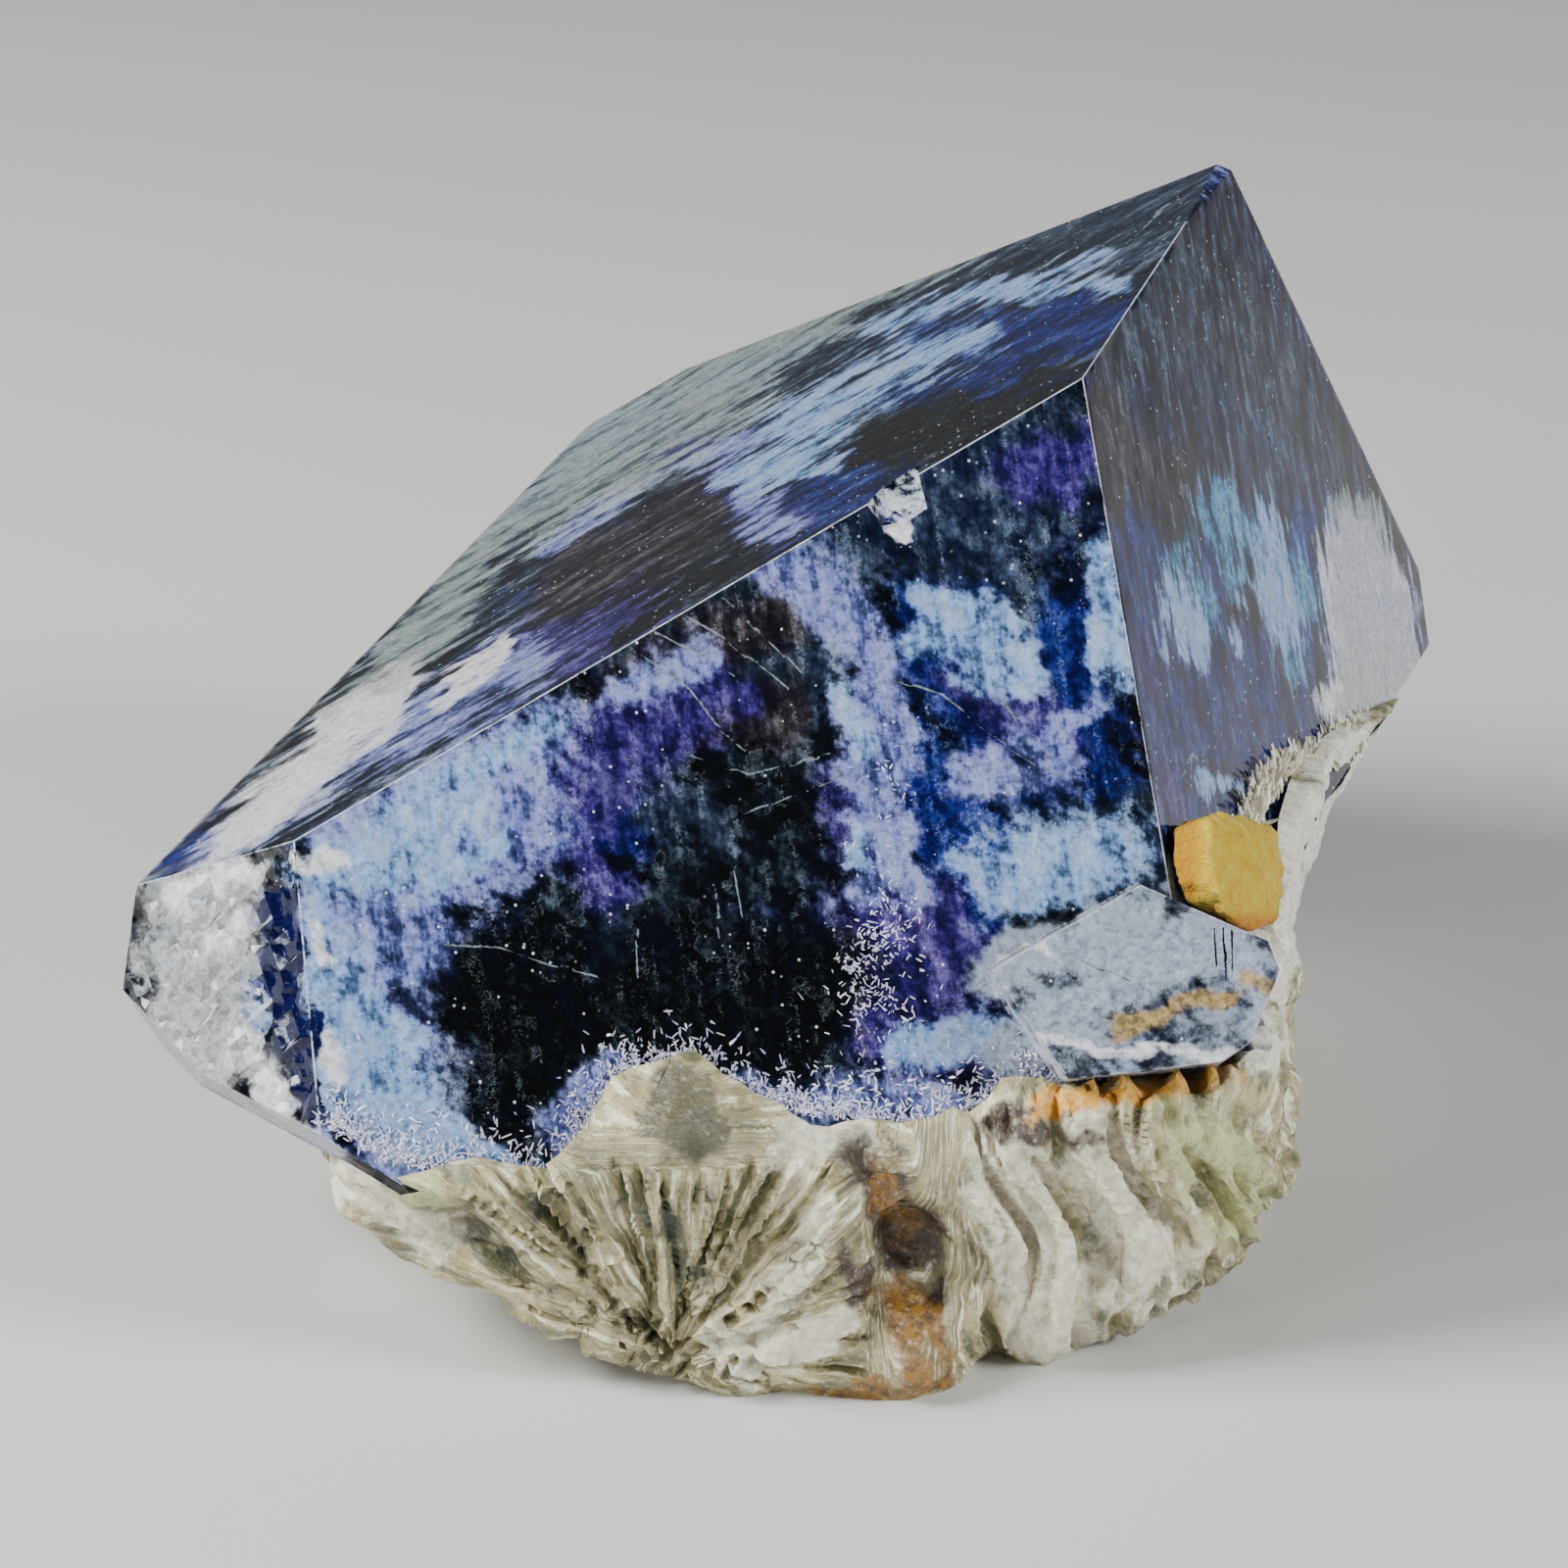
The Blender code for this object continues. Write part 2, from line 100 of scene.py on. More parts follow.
# Each zone: group, layer, strokes of (across 1, up 1, across 2, up 2, half width, softness)
ZONES = (
    # Near-black zones: partly the crystal's deep colour, partly painted shade where dark
    # surroundings show through the clear crystal
    ("front", "dark", (
        (-11, -8.7, -8, -10.4, 2.41, 0.35), (-12.4, -6.7, -8, -6.2, 1.41, 0.3),
        (-8, -8.7, -1.3, -8.4, 2.28, 0.4), (-3.4, -6.7, 1.3, -7, 1.88, 0.5),
        (-10.7, -10.7, -9.3, -12.2, 1.4, 0.4), (14, -8.5, 14.9, -8.3, 0.34, 0.3),
    )),
    # Painted reflection: warm dark windows where inner faces show reflected through the front face
    ("front", "warm", (
        (-5.4, 3.4, -0.7, 5.4, 1.21, 0.7), (-3.7, 1.9, 0, 2.5, 0.94, 0.7),
    )),
    ("front", "royal", (
        (-17.2, -5, -16.1, -8.7, 0.84, 0.35), (-16.3, -9, -15.9, -10.8, 0.4, 0.3),
        (6.2, 3.7, 8.1, 1.3, 1.15, 0.6), (4.7, 6.1, 5.4, 3.4, 0.68, 0.7),
        (4.4, -0.7, 5.4, -2, 0.61, 0.7), (5.4, 5.4, 8.1, 1.3, 2.03, 0.9),
        (9.8, 5.4, 10.8, 0.7, 1.15, 0.9), (4, 0.7, 6.7, -2.4, 1.28, 0.9),
        (-15.7, -4.4, -15.1, -6.7, 0.74, 0.8), (-8.1, -2, -5.4, -1.3, 0.87, 0.9),
        (5.4, -2.7, 6.7, -5.4, 1.01, 0.9), (-11, -12.7, -8, -13, 0.87, 0.9),
        (-13.4, -7.4, -12.7, -9.4, 0.74, 0.9),
    )),
    ("front", "violet", (
        (-6.7, -0.2, -6.3, -0.5, 1.41, 0.7), (-8.1, 0.8, -3.7, 3.2, 0.67, 0.7),
        (2.7, -8, 3.4, -9, 1.01, 0.5), (5, -4.4, 6.4, -7.1, 1.21, 0.6),
        (3, -6.2, 3.4, -6.7, 0.67, 0.5), (9.2, 10.9, 9.6, 10.2, 0.58, 0.7),
        (11.5, 5.8, 11.7, 5.1, 0.44, 0.7), (-3.4, 3.7, -1.3, 2.7, 0.54, 0.8),
        (-17.1, -7, -16.7, -8.7, 0.47, 0.6), (-8.1, -0.3, -3.7, 2.4, 1.75, 0.9),
        (-6.7, -2.7, -6, -3.4, 1.01, 0.9), (3.4, -4.4, 5.4, -8.4, 1.81, 0.9),
        (-0.3, 8.1, 1.7, 6.1, 0.88, 0.9), (-11.7, -3.4, -9.4, -2, 1.14, 0.9),
        (7.1, 3.4, 8.8, 1.3, 1.35, 0.9), (2.7, 0, 3.4, -2.7, 1.35, 0.9),
        (8.1, 10.9, 10.2, 11.9, 1.02, 0.9),
    )),
    ("front", "lilac", (
        (-16.2, -12.6, -6.4, -14.6, 0.9, 0.8),
        (-15, -4.6, -13.6, -9.6, 2.1, 0.8), (-11.4, -3.6, -8.6, -1.4, 1.3, 0.9),
        (-14.6, -3.4, -12.6, -5.4, 1.54, 0.35), (-12.1, -2.7, -8.7, 0, 1.21, 0.6),
        (1.7, 7.1, 3.4, 3.7, 1.15, 0.7), (3.5, 3, 3.6, -2, 0.81, 0.5),
        (2.4, -4, 4, -2.7, 0.74, 0.6),
        (-18, -4.4, -17.7, -7, 0.54, 0.5), (-14, -10, -12.4, -11.3, 0.93, 0.5),
        (-8, -11.7, -6.7, -13.2, 0.6, 0.6), (8.1, 1.3, 10.8, 2.7, 0.54, 0.8),
        (-3.3, -10.7, 6.7, -11.4, 0.47, 0.8), (-15.1, -3.4, -14, -9.4, 1.67, 0.9),
        (-14, -9.7, -11.7, -12.3, 1.34, 0.9), (-14.8, -1.7, -8.1, 1.9, 1.48, 0.9),
        (2.7, 2.7, 3.9, -3, 1.08, 0.9), (6.1, 0, 9.4, 0.7, 0.67, 0.9),
        (-8, -11.7, -6, -9.9, 0.74, 0.9), (-1.3, -10.7, 6.7, -11.1, 0.74, 0.9),
        (0, 8.1, 2.7, 4.7, 1.08, 0.9), (-5.4, 3.4, -3.4, 4, 0.81, 0.9),
    )),
    ("front", "ice", (
        (-13.6, -1.2, -8.4, 1.8, 0.7, 0.9), (-16.2, -3.2, -12.8, -1.8, 0.8, 0.9),
        (-15.4, -7, -12.6, -11.6, 1.5, 0.9), (-14.8, -3, -11.8, -2.6, 1, 0.9),
        (-15.9, -3.4, -15.2, -8.7, 0.4, 0.5), (-15.2, -9.7, -12, -12, 1.34, 0.45),
        (-12, -12.7, -8.7, -13.3, 0.6, 0.6), (-11.4, 0, -7.7, 1.9, 0.61, 0.7),
        (-14.1, -1.7, -12.4, -1, 0.67, 0.6), (5.1, 4.9, 7.3, 5.2, 0.81, 0.6),
        (7.7, -3.5, 10.8, -2, 1.08, 0.6), (11.2, 8.1, 11.8, 3.4, 0.34, 0.6),
        (2.4, -2.9, 2.9, -1.3, 0.34, 0.7), (-19, -7, -18.4, -8.2, 0.67, 0.6),
        (-14.4, -2.6, -10.6, -0.8, 0.9, 0.9), (-14.6, -6.6, -13.2, -8.6, 0.8, 0.9),
        (-12.2, -3.4, -9.6, -2.2, 0.5, 0.9), (4.2, -9.2, 7, -8.6, 0.6, 0.9),
        (7.1, -3, 11.1, -1.9, 1.35, 0.9), (7.8, 5.4, 8.4, 3.4, 0.61, 0.9),
        (10.8, 8.1, 11.6, 3.4, 0.47, 0.9), (6.1, 5.4, 7.1, 4.1, 1.01, 0.9),
        (-13.4, -10.7, -11, -12.7, 0.8, 0.9), (2, 3.4, 3, 1.3, 0.4, 0.9),
        (5.1, 6.8, 6.8, 6.1, 0.54, 0.9),
    )),
    # Partly white veils in the crystal, partly painted glow at the backlit left tip
    ("front", "white", (
        (-16.6, -2.8, -15.4, -2.6, 0.4, 0.9), (-15.8, -5.2, -15.4, -6.4, 0.3, 1),
        (-15.4, -8.8, -14.9, -10.2, 0.34, 1),
        (3, 9.8, 4.6, 8.8, 0.3, 0.3),
        (-19, -9.2, -17.4, -10.8, 0.73, 0.7), (-21.4, -3.8, -18.6, -3.2, 0.54, 0.8),
        (-19.9, -5.5, -18.7, -5, 0.47, 0.9), (7.4, -6.2, 9.1, -5.6, 0.2, 1),
        (8.1, -9.2, 14.8, -9.1, 0.2, 0.8),
    )),
    ("front", "frost", (
        (-20.2, -3.9, -20.8, -8.8, 2.2, 0.5), (-21.7, -6.7, -20.4, -9.2, 1.27, 0.4),
        (-21.2, -4.4, -19.2, -6.7, 1.07, 0.5), (-18.3, -10.7, -16.7, -11.7, 0.47, 0.5),
    )),
    ("front", "ink", (
        (-17.6, -4.6, -16.5, -8.6, 0.95, 0.5), (-16.6, -8.8, -16.1, -10.9, 0.5, 0.4),
    )),
    ("front", "milk", (
        (6.9, -7, 9.4, -5.6, 0.8, 0.8), (7, -9, 10.2, -8.9, 0.5, 0.8),
        (7.7, -6.2, 11.8, -4.5, 0.94, 0.5), (11.1, -6.4, 14.6, -5, 1.28, 0.4),
        (8.1, -8.2, 11.1, -7.1, 0.81, 0.5), (13.6, -3.5, 14.8, -4.7, 0.61, 0.5),
        (15.5, -6.2, 16, -8.1, 0.61, 0.4),
    )),
    ("front", "stain", (
        (11.1, -8.3, 12.8, -8, 0.44, 0.6), (12.8, -7.9, 14.8, -7.1, 0.3, 0.6),
        (15.5, -6.7, 16.3, -7.2, 0.34, 0.6),
    )),
    ("front", "slate", (
        (1.4, 7.4, 9.5, 12.9, 1.49, 0.8), (8.8, 5.4, 10.8, 0.3, 1.15, 0.8),
        (-5.4, 5.4, 0.7, 8.1, 0.68, 0.8), (-4.7, 5.4, -1.4, 6.1, 1.35, 0.9),
        (6.1, 8.1, 10.2, 11.2, 1.9, 0.9), (8.4, 1.3, 11.1, -1.3, 1.69, 0.9),
        (-3.4, 2.7, 0.7, 3.4, 1.35, 0.9), (-5.4, 0.7, -2.7, -2, 0.87, 0.9),
        (2, 8.1, 6.1, 10.2, 1.35, 0.9), (6.7, -2, 11.8, -2.7, 1.35, 0.9),
    )),
    ("upper", "slate", (
        (6.2, 19, 16.2, 22.7, 1.76, 0.5), (7.9, 20.9, 11.7, 22.2, 1.18, 0.5),
    )),
    ("upper", "royal", (
        (7.3, 15.9, 11, 16, 1.07, 0.4), (1.2, 10.3, 3.5, 11.1, 1.04, 0.45),
        (5.4, 14.8, 9, 14.4, 0.71, 0.5), (-21.8, -2.7, -18.7, -1.1, 0.63, 0.5),
        (9.4, 17.1, 11.5, 15.8, 0.5, 0.5), (6, 16.9, 11.6, 16.5, 1.45, 0.6),
        (0.7, 9.7, 3.2, 11.6, 1.19, 0.6), (-21.2, -1.8, -17.9, -1.2, 0.77, 0.8),
        (2.6, 15, 5.7, 14.4, 0.73, 0.9), (-10.9, 3.9, -8.4, 4.9, 0.63, 0.9),
    )),
    # Near-black marks: partly deep colour, partly painted shade seen through the clear crystal
    ("upper", "dark", (
        (3.7, 12.3, 7.5, 13, 1.18, 0.4), (-13.9, -0.4, -7.1, 3.7, 0.27, 0.25),
        (-7.1, 3.7, -5.4, 4.7, 0.3, 0.3), (7.2, 12.9, 9.6, 14, 0.62, 0.6),
        (-5.5, 5.5, -0.7, 8.2, 0.31, 0.4),
    )),
    ("upper", "ice", (
        (1.1, 14, 6, 16.8, 0.75, 0.7), (-0.5, 11.8, 1.8, 11.9, 0.58, 0.7),
        (3.8, 15.7, 7, 16.9, 0.6, 0.7), (9.4, 18.7, 12.6, 18.4, 0.44, 0.8),
        (0, 14, 6.7, 16.7, 1.05, 0.9), (-1.5, 11.8, 1.8, 13.2, 0.81, 0.9),
        (8, 19.1, 12, 20.1, 0.53, 0.9), (3.9, 18.5, 7.7, 19.2, 0.54, 0.9),
    )),
    ("upper", "pale", (
        (-4, 17.6, 7, 22, 0.9, 0.9), (-16.8, 3, -11, 11.2, 0.6, 0.7),
        (-9.8, 13.1, -3.3, 16.7, 1.39, 0.5), (-12.6, 9, -9.7, 12.5, 1.04, 0.6),
        (-14.7, 4, -12.7, 7.7, 0.68, 0.7), (-6.6, 15.2, 0.8, 18.7, 0.98, 0.6),
        (-10.4, 11.2, -2.4, 16.3, 1.76, 0.8), (-14.7, 4, -12.3, 8.1, 0.98, 0.8),
        (-11.9, 9.9, -9.2, 12, 1.19, 0.8), (-1.6, 17.5, 2.4, 18.9, 0.81, 0.9),
    )),
    # Painted reflection: a warm dark window of an inner face seen through the upper face
    ("upper", "warm", (
        (-7.3, 7.5, -2.7, 10.1, 1.67, 0.3), (-8.5, 5.7, -5.3, 7.1, 0.99, 0.4),
        (-7.4, 7.2, -2.9, 10.1, 1.81, 0.4),
    )),
    ("upper", "violet", (
        (-9.1, 4.9, -5.5, 5.5, 0.97, 0.5), (-2, 11, 0.2, 9.2, 0.71, 0.6),
        (-11.2, 3.5, -9.7, 3.8, 0.63, 0.6), (-13, 1.9, -11.4, 2.6, 0.42, 0.7),
        (-9.8, 4.2, -4.8, 5.8, 1.18, 0.8), (-2.3, 12.4, 0, 8.6, 0.86, 0.8),
        (-16.4, 0.3, -14.6, 1, 0.63, 0.9), (-6.3, 12.6, -3.1, 13.5, 0.78, 0.9),
    )),
    ("upper", "lilac", (
        (-13.2, 2, -9.4, 4.2, 1.11, 0.5), (-2.2, 12.8, -0.5, 9, 0.65, 0.7),
        (-17.2, -0.8, -14.1, 2, 0.84, 0.7), (-9.1, 9.1, -6.2, 11.6, 0.46, 0.8),
        (-14.7, 1.4, -9.7, 3.8, 1.25, 0.9), (-18.5, -1.7, -16.3, 0, 0.9, 0.9),
        (-4.2, 12.7, -1.1, 13.7, 0.61, 0.9), (-1.5, 10.9, 0, 9, 0.5, 0.9),
        (-20.7, -2.8, -19.1, -2.4, 0.55, 0.9),
    )),
    # Painted glow of the backlit left tip, with white veils
    ("upper", "white", (
        (-18.9, -1.4, -14.7, 2.8, 1.06, 0.5), (-17, 2.5, -13.9, 4.3, 0.66, 0.7),
        (-12.4, 3.6, -10, 5, 0.28, 0.8), (-19.6, -1.7, -15, 2.3, 1.13, 0.8),
        (-17.6, 0, -13.8, 4, 0.71, 0.8), (-12.2, 2.8, -10.5, 3.9, 0.35, 0.9),
    )),
    ("right", "slate", (
        (14.2, 20, 17.3, 17.7, 2.07, 0.7), (17.2, 16.9, 20.5, 13.9, 1.98, 0.7),
        (21, 12.8, 21.4, 10.9, 0.93, 0.7), (12.4, 18.8, 19.1, 14.5, 2.57, 0.9),
    )),
    # Painted reflection: warm dark windows of inner faces seen through the right face
    ("right", "warm", (
        (10.9, 13, 12, 8.2, 1.09, 0.5), (12.5, 11.1, 16.9, 11, 1, 0.6),
        (12.8, 8.3, 14.5, 7.4, 0.77, 0.5), (15.8, 8.3, 15.7, 1.8, 0.43, 0.4),
    )),
    ("right", "teal", (
        (18.4, 9, 19.2, 4.6, 0.7, 0.8), (17.8, 9.8, 19.4, 7.5, 0.97, 0.6),
        (15.7, 9.4, 17.2, 7.3, 0.36, 0.7), (16.4, 10.2, 20.1, 7.6, 1.34, 0.9),
        (14.1, 8.4, 15.3, 5.7, 0.78, 0.9),
    )),
    ("right", "ice", (
        (17.6, 7.3, 18.5, 5.9, 0.52, 0.6), (14.2, 7, 14.9, 5.3, 0.46, 0.6),
        (16.8, 6.5, 17, 5.1, 0.22, 0.7), (13.6, -2.9, 15.3, -2.2, 0.69, 0.6),
        (15, -0.3, 18.2, 0.5, 0.36, 0.7), (14.2, 7.4, 14.5, 4.6, 0.63, 0.8),
        (18.4, 9.7, 19, 6, 0.9, 0.8), (13.5, -3.4, 15.3, -2.4, 0.82, 0.8),
    )),
    ("right", "royal", (
        (12.8, 3.4, 14.4, 1.4, 1.17, 0.6), (17.2, 4.4, 18.8, 1.5, 1.24, 0.5),
        (20.1, 10.7, 20, 6, 0.38, 0.6), (12.6, 8.3, 13.7, -0.7, 1.3, 0.8),
        (15.9, 8.7, 15.7, 1.4, 0.86, 0.8), (14.7, 3.5, 19.2, 0.7, 1.65, 0.8),
        (20.3, 10.7, 20, 2.2, 0.45, 0.6), (13.2, -1.4, 15.4, -1, 0.89, 0.9),
    )),
    ("right", "violet", (
        (13.2, 0.5, 13.8, -1, 0.44, 0.6), (12.6, 5.1, 13, 3.4, 0.48, 0.7),
    )),
    ("right", "pale", (
        (23.2, 10.3, 23.5, 3.1, 1.81, 0.25), (25.2, 7.3, 25.2, 4, 0.88, 0.5),
    )),
    # Painted glow: the bright white right end, lit from behind
    ("right", "white", (
        (22.6, 9, 22.9, 4, 1.5, 0.35), (24.6, 8, 25, 4, 1.5, 0.5), (21.6, 3.4, 24.5, 2.4, 0.9, 0.6),
        (23.6, 10.6, 24, 9, 0.6, 0.9), (23.1, 9.5, 23.5, 3.5, 1.65, 0.6),
    )),
    ("right", "lilac", (
        (21.5, 5.8, 22, 3.1, 0.54, 0.7), (21.4, 10.9, 21.9, 7.8, 0.31, 0.8),
    )),
)
# Thin bright healed cracks, and dark striations, as lines on a face
LINE_WIDTH = 0.030
BRIGHT_LINES = (
    ("front", ((-11.6, -5.5), (-9.7, -5.6), (-8, -6.2), (-6.3, -6.6))),
    ("front", ((3.4, 3.7), (5.4, 3), (7.1, 1.7), (9.4, 0.3))),
    ("front", ((-5.4, 4.9), (-3.7, 3.7), (-2.4, 2), (-1.3, 1.1))),
    ("front", ((-4.7, 5.4), (-2.7, 4.3), (-1.3, 3.3))),
    ("front", ((-3.4, 5.7), (-2, 4.9), (0, 3.3))),
    ("front", ((-2.2, 6.4), (-0.3, 4.7), (0.7, 3.6))),
    ("front", ((-1.3, -1.1), (2.1, 0.4))),
    ("front", ((-3.3, 0.9), (-1.3, 0.3), (1.7, 1.1))),
    ("front", ((-2.6, -3.3), (-2.3, -5.4))),
    ("front", ((-1.8, -3), (-1.5, -4.7))),
    ("front", ((-5, -5), (-4.9, -6.7))),
    ("front", ((10.1, -5.9), (11.8, -6.7))),
    ("front", ((7.1, 3.7), (8.1, 2))),
    ("right", ((14, 0.3), (14.4, 1), (14.7, 0.7))),
    ("right", ((14.4, 1), (14.4, 0))),
    ("upper", ((13, 20.5), (15, 22.5))),
    ("upper", ((13.5, 19.6), (15, 21.5))),
)
DARK_LINES = (
    ("front", ((14.6, -4.9), (14.7, -6.7))),
    ("front", ((14.9, -4.9), (15, -6.8))),
    ("front", ((15.2, -5), (15.2, -6.6))),
)
# The line where the mica meets the front of the crystal: across, up, mm
CONTACT = (
    (-15.6, -11.4), (-13.6, -12.6), (-10.0, -13.3), (-6.7, -13.4), (-6.6, -11.6),
    (-5.3, -9.8), (-3.4, -9.6), (-1.3, -10.8), (3.0, -11.4), (4.7, -11.8),
    (6.7, -11.0), (10.1, -10.1), (13.4, -9.3), (15.6, -8.4),
)
RIGHT_RIM = ((22.9, 2.0), (21.0, 1.0), (18.4, 0.4), (17.2, -0.9), (16.6, -2.0))

# Mesh spacing on the faces in view and out of it, and how round the worn edges are, mm
FINE_SPACING = 0.27
COARSE_SPACING = 1.1
EDGE_ROUND = 0.13
MERGE = 1e-3
# Directions that agree to this cosine belong to one face
SAME_FACE = 0.9995
# Faces under this area stay coarse, and only those over the larger one get fine lines, mm2
SMALL_FACE = 0.6
LARGE_FACE = 40.0
LINE_STEP = 0.12
LINE_OFFSETS = (-0.2, -0.09, 0.0, 0.09, 0.2)
MESH_SEED = 3
FLAKE_SEED = 5


def drawn(points):
    """Frame metres to drawn millimetres."""
    return np.asarray(points) * 1000.0 + SHIFT


def in_metres(points):
    """Drawn millimetres back to frame metres."""
    return (np.asarray(points) - SHIFT) * 0.001


def across_up(points):
    """Where points show in the front view, mm."""
    up = points[:, 1] * math.sin(TILT) + (points[:, 2] - PLANE_HEIGHT) * math.cos(TILT)
    return points[:, 0], up


def ramp(edge0, edge1, values):
    """0 to 1 between two edges, with soft ends."""
    share = np.clip((values - edge0) / (edge1 - edge0), 0.0, 1.0)
    return share * share * (3.0 - 2.0 * share)


def lattice_value(cells, seed):
    """A repeatable number from 0 to 1 for each whole-number cell."""
    mixed = cells[:, 0] * 73856093 ^ cells[:, 1] * 19349663 ^ cells[:, 2] * 83492791
    mixed = (mixed ^ (seed * 2654435761)) & 0x7FFFFFFF
    mixed = (mixed * 1103515245 + 12345) & 0x7FFFFFFF
    mixed = ((mixed >> 13) ^ mixed) * 1274126177 & 0x7FFFFFFF
    return (mixed & 0xFFFF) / 65535.0


def value_noise(points, seed):
    """Smooth repeatable noise between -1 and 1, one cell a unit."""
    base = np.floor(points).astype(np.int64)
    part = points - base
    part = part * part * (3.0 - 2.0 * part)
    total = np.zeros(len(points))
    for corner in range(8):
        step = np.array((corner & 1, corner >> 1 & 1, corner >> 2 & 1))
        share = np.prod(np.where(step == 1, part, 1.0 - part), axis=1)
        total += share * lattice_value(base + step, seed)
    return total * 2.0 - 1.0


def fractal(points, octaves, seed):
    """Layered noise between about -1 and 1."""
    total = np.zeros(len(points))
    size = 1.0
    weight = 0.55
    for octave in range(octaves):
        total += weight * value_noise(points * size, seed + octave)
        size *= 2.1
        weight *= 0.55
    return total


def outside_plane(points, plane):
    """How far outside one face of the crystal each point lies, mm."""
    _, normal, distance = plane
    return (points - CRYSTAL_CENTRE) @ normal - distance


def stroke_distance(a, b, row):
    """Distance from each place (a, b) to the line that a row starts with."""
    x1, y1, x2, y2 = row[:4]
    dx = x2 - x1
    dy = y2 - y1
    along = ((a - x1) * dx + (b - y1) * dy) / max(dx * dx + dy * dy, 1e-9)
    along = np.clip(along, 0.0, 1.0)
    return np.hypot(a - x1 - along * dx, b - y1 - along * dy)


def face_basis(normal):
    """Two unit directions in the plane of a normal."""
    side = Vector((1.0, 0.0, 0.0)) if abs(normal.x) < 0.8 else Vector((0.0, 1.0, 0.0))
    u = (side - normal * side.dot(normal)).normalized()
    return u, normal.cross(u)


def cad_mesh(node):
    """A CAD solid in drawn millimetres, to be worked on."""
    bm = bmesh.new()
    bm.from_mesh(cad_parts[node].data)
    for vert in bm.verts:
        vert.co = Vector(drawn(vert.co))
    bmesh.ops.remove_doubles(bm, verts=bm.verts[:], dist=MERGE)
    return bm


def vert_positions(bm):
    return np.array([tuple(v.co) for v in bm.verts])


def finish_mesh(bm):
    """Positions, normals and faces of a worked mesh, which is then dropped."""
    bm.normal_update()
    bm.verts.index_update()
    normals = np.array([tuple(v.normal) for v in bm.verts])
    faces = [[v.index for v in f.verts] for f in bm.faces]
    points = vert_positions(bm)
    bm.free()
    return points, normals, faces


def relax(bm, verts, rounds):
    for _ in range(rounds):
        bmesh.ops.smooth_vert(
            bm, verts=verts, factor=0.5, use_axis_x=True, use_axis_y=True, use_axis_z=True
        )


def store_layers(obj, name, values, domain):
    """Columns of values kept four at a time as colour attributes name_0, name_1 and so on."""
    values = np.pad(values, ((0, 0), (0, -values.shape[1] % 4)))
    for i in range(0, values.shape[1], 4):
        layer = obj.data.color_attributes.new(f"{name}_{i // 4}", "FLOAT_COLOR", domain)
        layer.data.foreach_set("color", values[:, i:i + 4].astype(np.float32).reshape(-1))


def new_piece(name, verts, faces, slot, *nodes):
    """A mesh piece in metres that rides on the one body."""
    mesh = bpy.data.meshes.new(name)
    mesh.from_pydata([tuple(v) for v in verts], [], [tuple(f) for f in faces])
    mesh.validate()
    obj = bpy.data.objects.new(name, mesh)
    bpy.context.scene.collection.objects.link(obj)
    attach(obj, "root")
    if nodes:
        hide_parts(*nodes)
    return obj


def cad_polygons():
    """The CAD crystal as flat many-sided faces with slightly worn edges, drawn mm."""
    bm = cad_mesh("fluorite_crystal")
    bmesh.ops.dissolve_limit(
        bm, angle_limit=math.radians(0.6), verts=bm.verts[:], edges=bm.edges[:]
    )
    bmesh.ops.recalc_face_normals(bm, faces=bm.faces[:])
    worn = []
    for edge in bm.edges:
        if len(edge.link_faces) != 2 or edge.calc_length() < 1.2:
            continue
        if min(face.calc_area() for face in edge.link_faces) < 4.0:
            continue
        if edge.calc_face_angle() > math.radians(14.0):
            worn.append(edge)
    bmesh.ops.bevel(
        bm, geom=worn, offset=EDGE_ROUND, offset_type="OFFSET", segments=2, profile=0.6,
        affect="EDGES", clamp_overlap=True,
    )
    bm.normal_update()
    verts = [v.co.copy() for v in bm.verts]
    bm.verts.index_update()
    polygons = [([v.index for v in f.verts], f.normal.copy(), f.calc_area()) for f in bm.faces]
    bm.free()
    return verts, polygons


def face_group(normal):
    """The colour group of a flat face, and whether it is one of the true faces."""
    agree, name = max(
        ((float(np.dot(normal, unit)), name) for name, unit, _ in PLANES), key=lambda pair: pair[0]
    )
    return GROUPS.index(name), agree > SAME_FACE


def spacing_at(middle, area):
    """The mesh spacing that suits a face, fine where the front view shows it."""
    if area < SMALL_FACE:
        return COARSE_SPACING
    facing = middle[1] < 22.0 or middle[2] > 20.0
    return FINE_SPACING if facing else COARSE_SPACING


def extra_line_points(origin, u, v, group):
    """Points close together along the thin lines of a face, in its own plane."""
    normal = u.cross(v)
    found = []
    for name, points in BRIGHT_LINES + DARK_LINES:
        if GROUPS.index(name) != group:
            continue
        for (x1, y1), (x2, y2) in zip(points, points[1:]):
            length = math.hypot(x2 - x1, y2 - y1)
            count = max(2, int(length / LINE_STEP))
            for i in range(count):
                share = i / count
                for off in LINE_OFFSETS:
                    a = x1 + (x2 - x1) * share - (y2 - y1) / length * off
                    b = y1 + (y2 - y1) * share + (x2 - x1) / length * off
                    found.append(on_plane(a, b, origin, normal))
    return [((p - origin).dot(u), (p - origin).dot(v)) for p in found]


def on_plane(a, b, origin, normal):
    """The point of a plane that shows at across a and up b in the front view."""
    back = Vector((0.0, -math.cos(TILT), math.sin(TILT)))
    upright = Vector((0.0, math.sin(TILT), math.cos(TILT)))
    start = Vector((a, 0.0, 0.0)) + upright * b + Vector((0.0, 0.0, PLANE_HEIGHT))
    along = (origin - start).dot(normal) / back.dot(normal)
    return start + back * along


def sides(outline):
    return zip(outline, np.roll(outline, -1, axis=0))


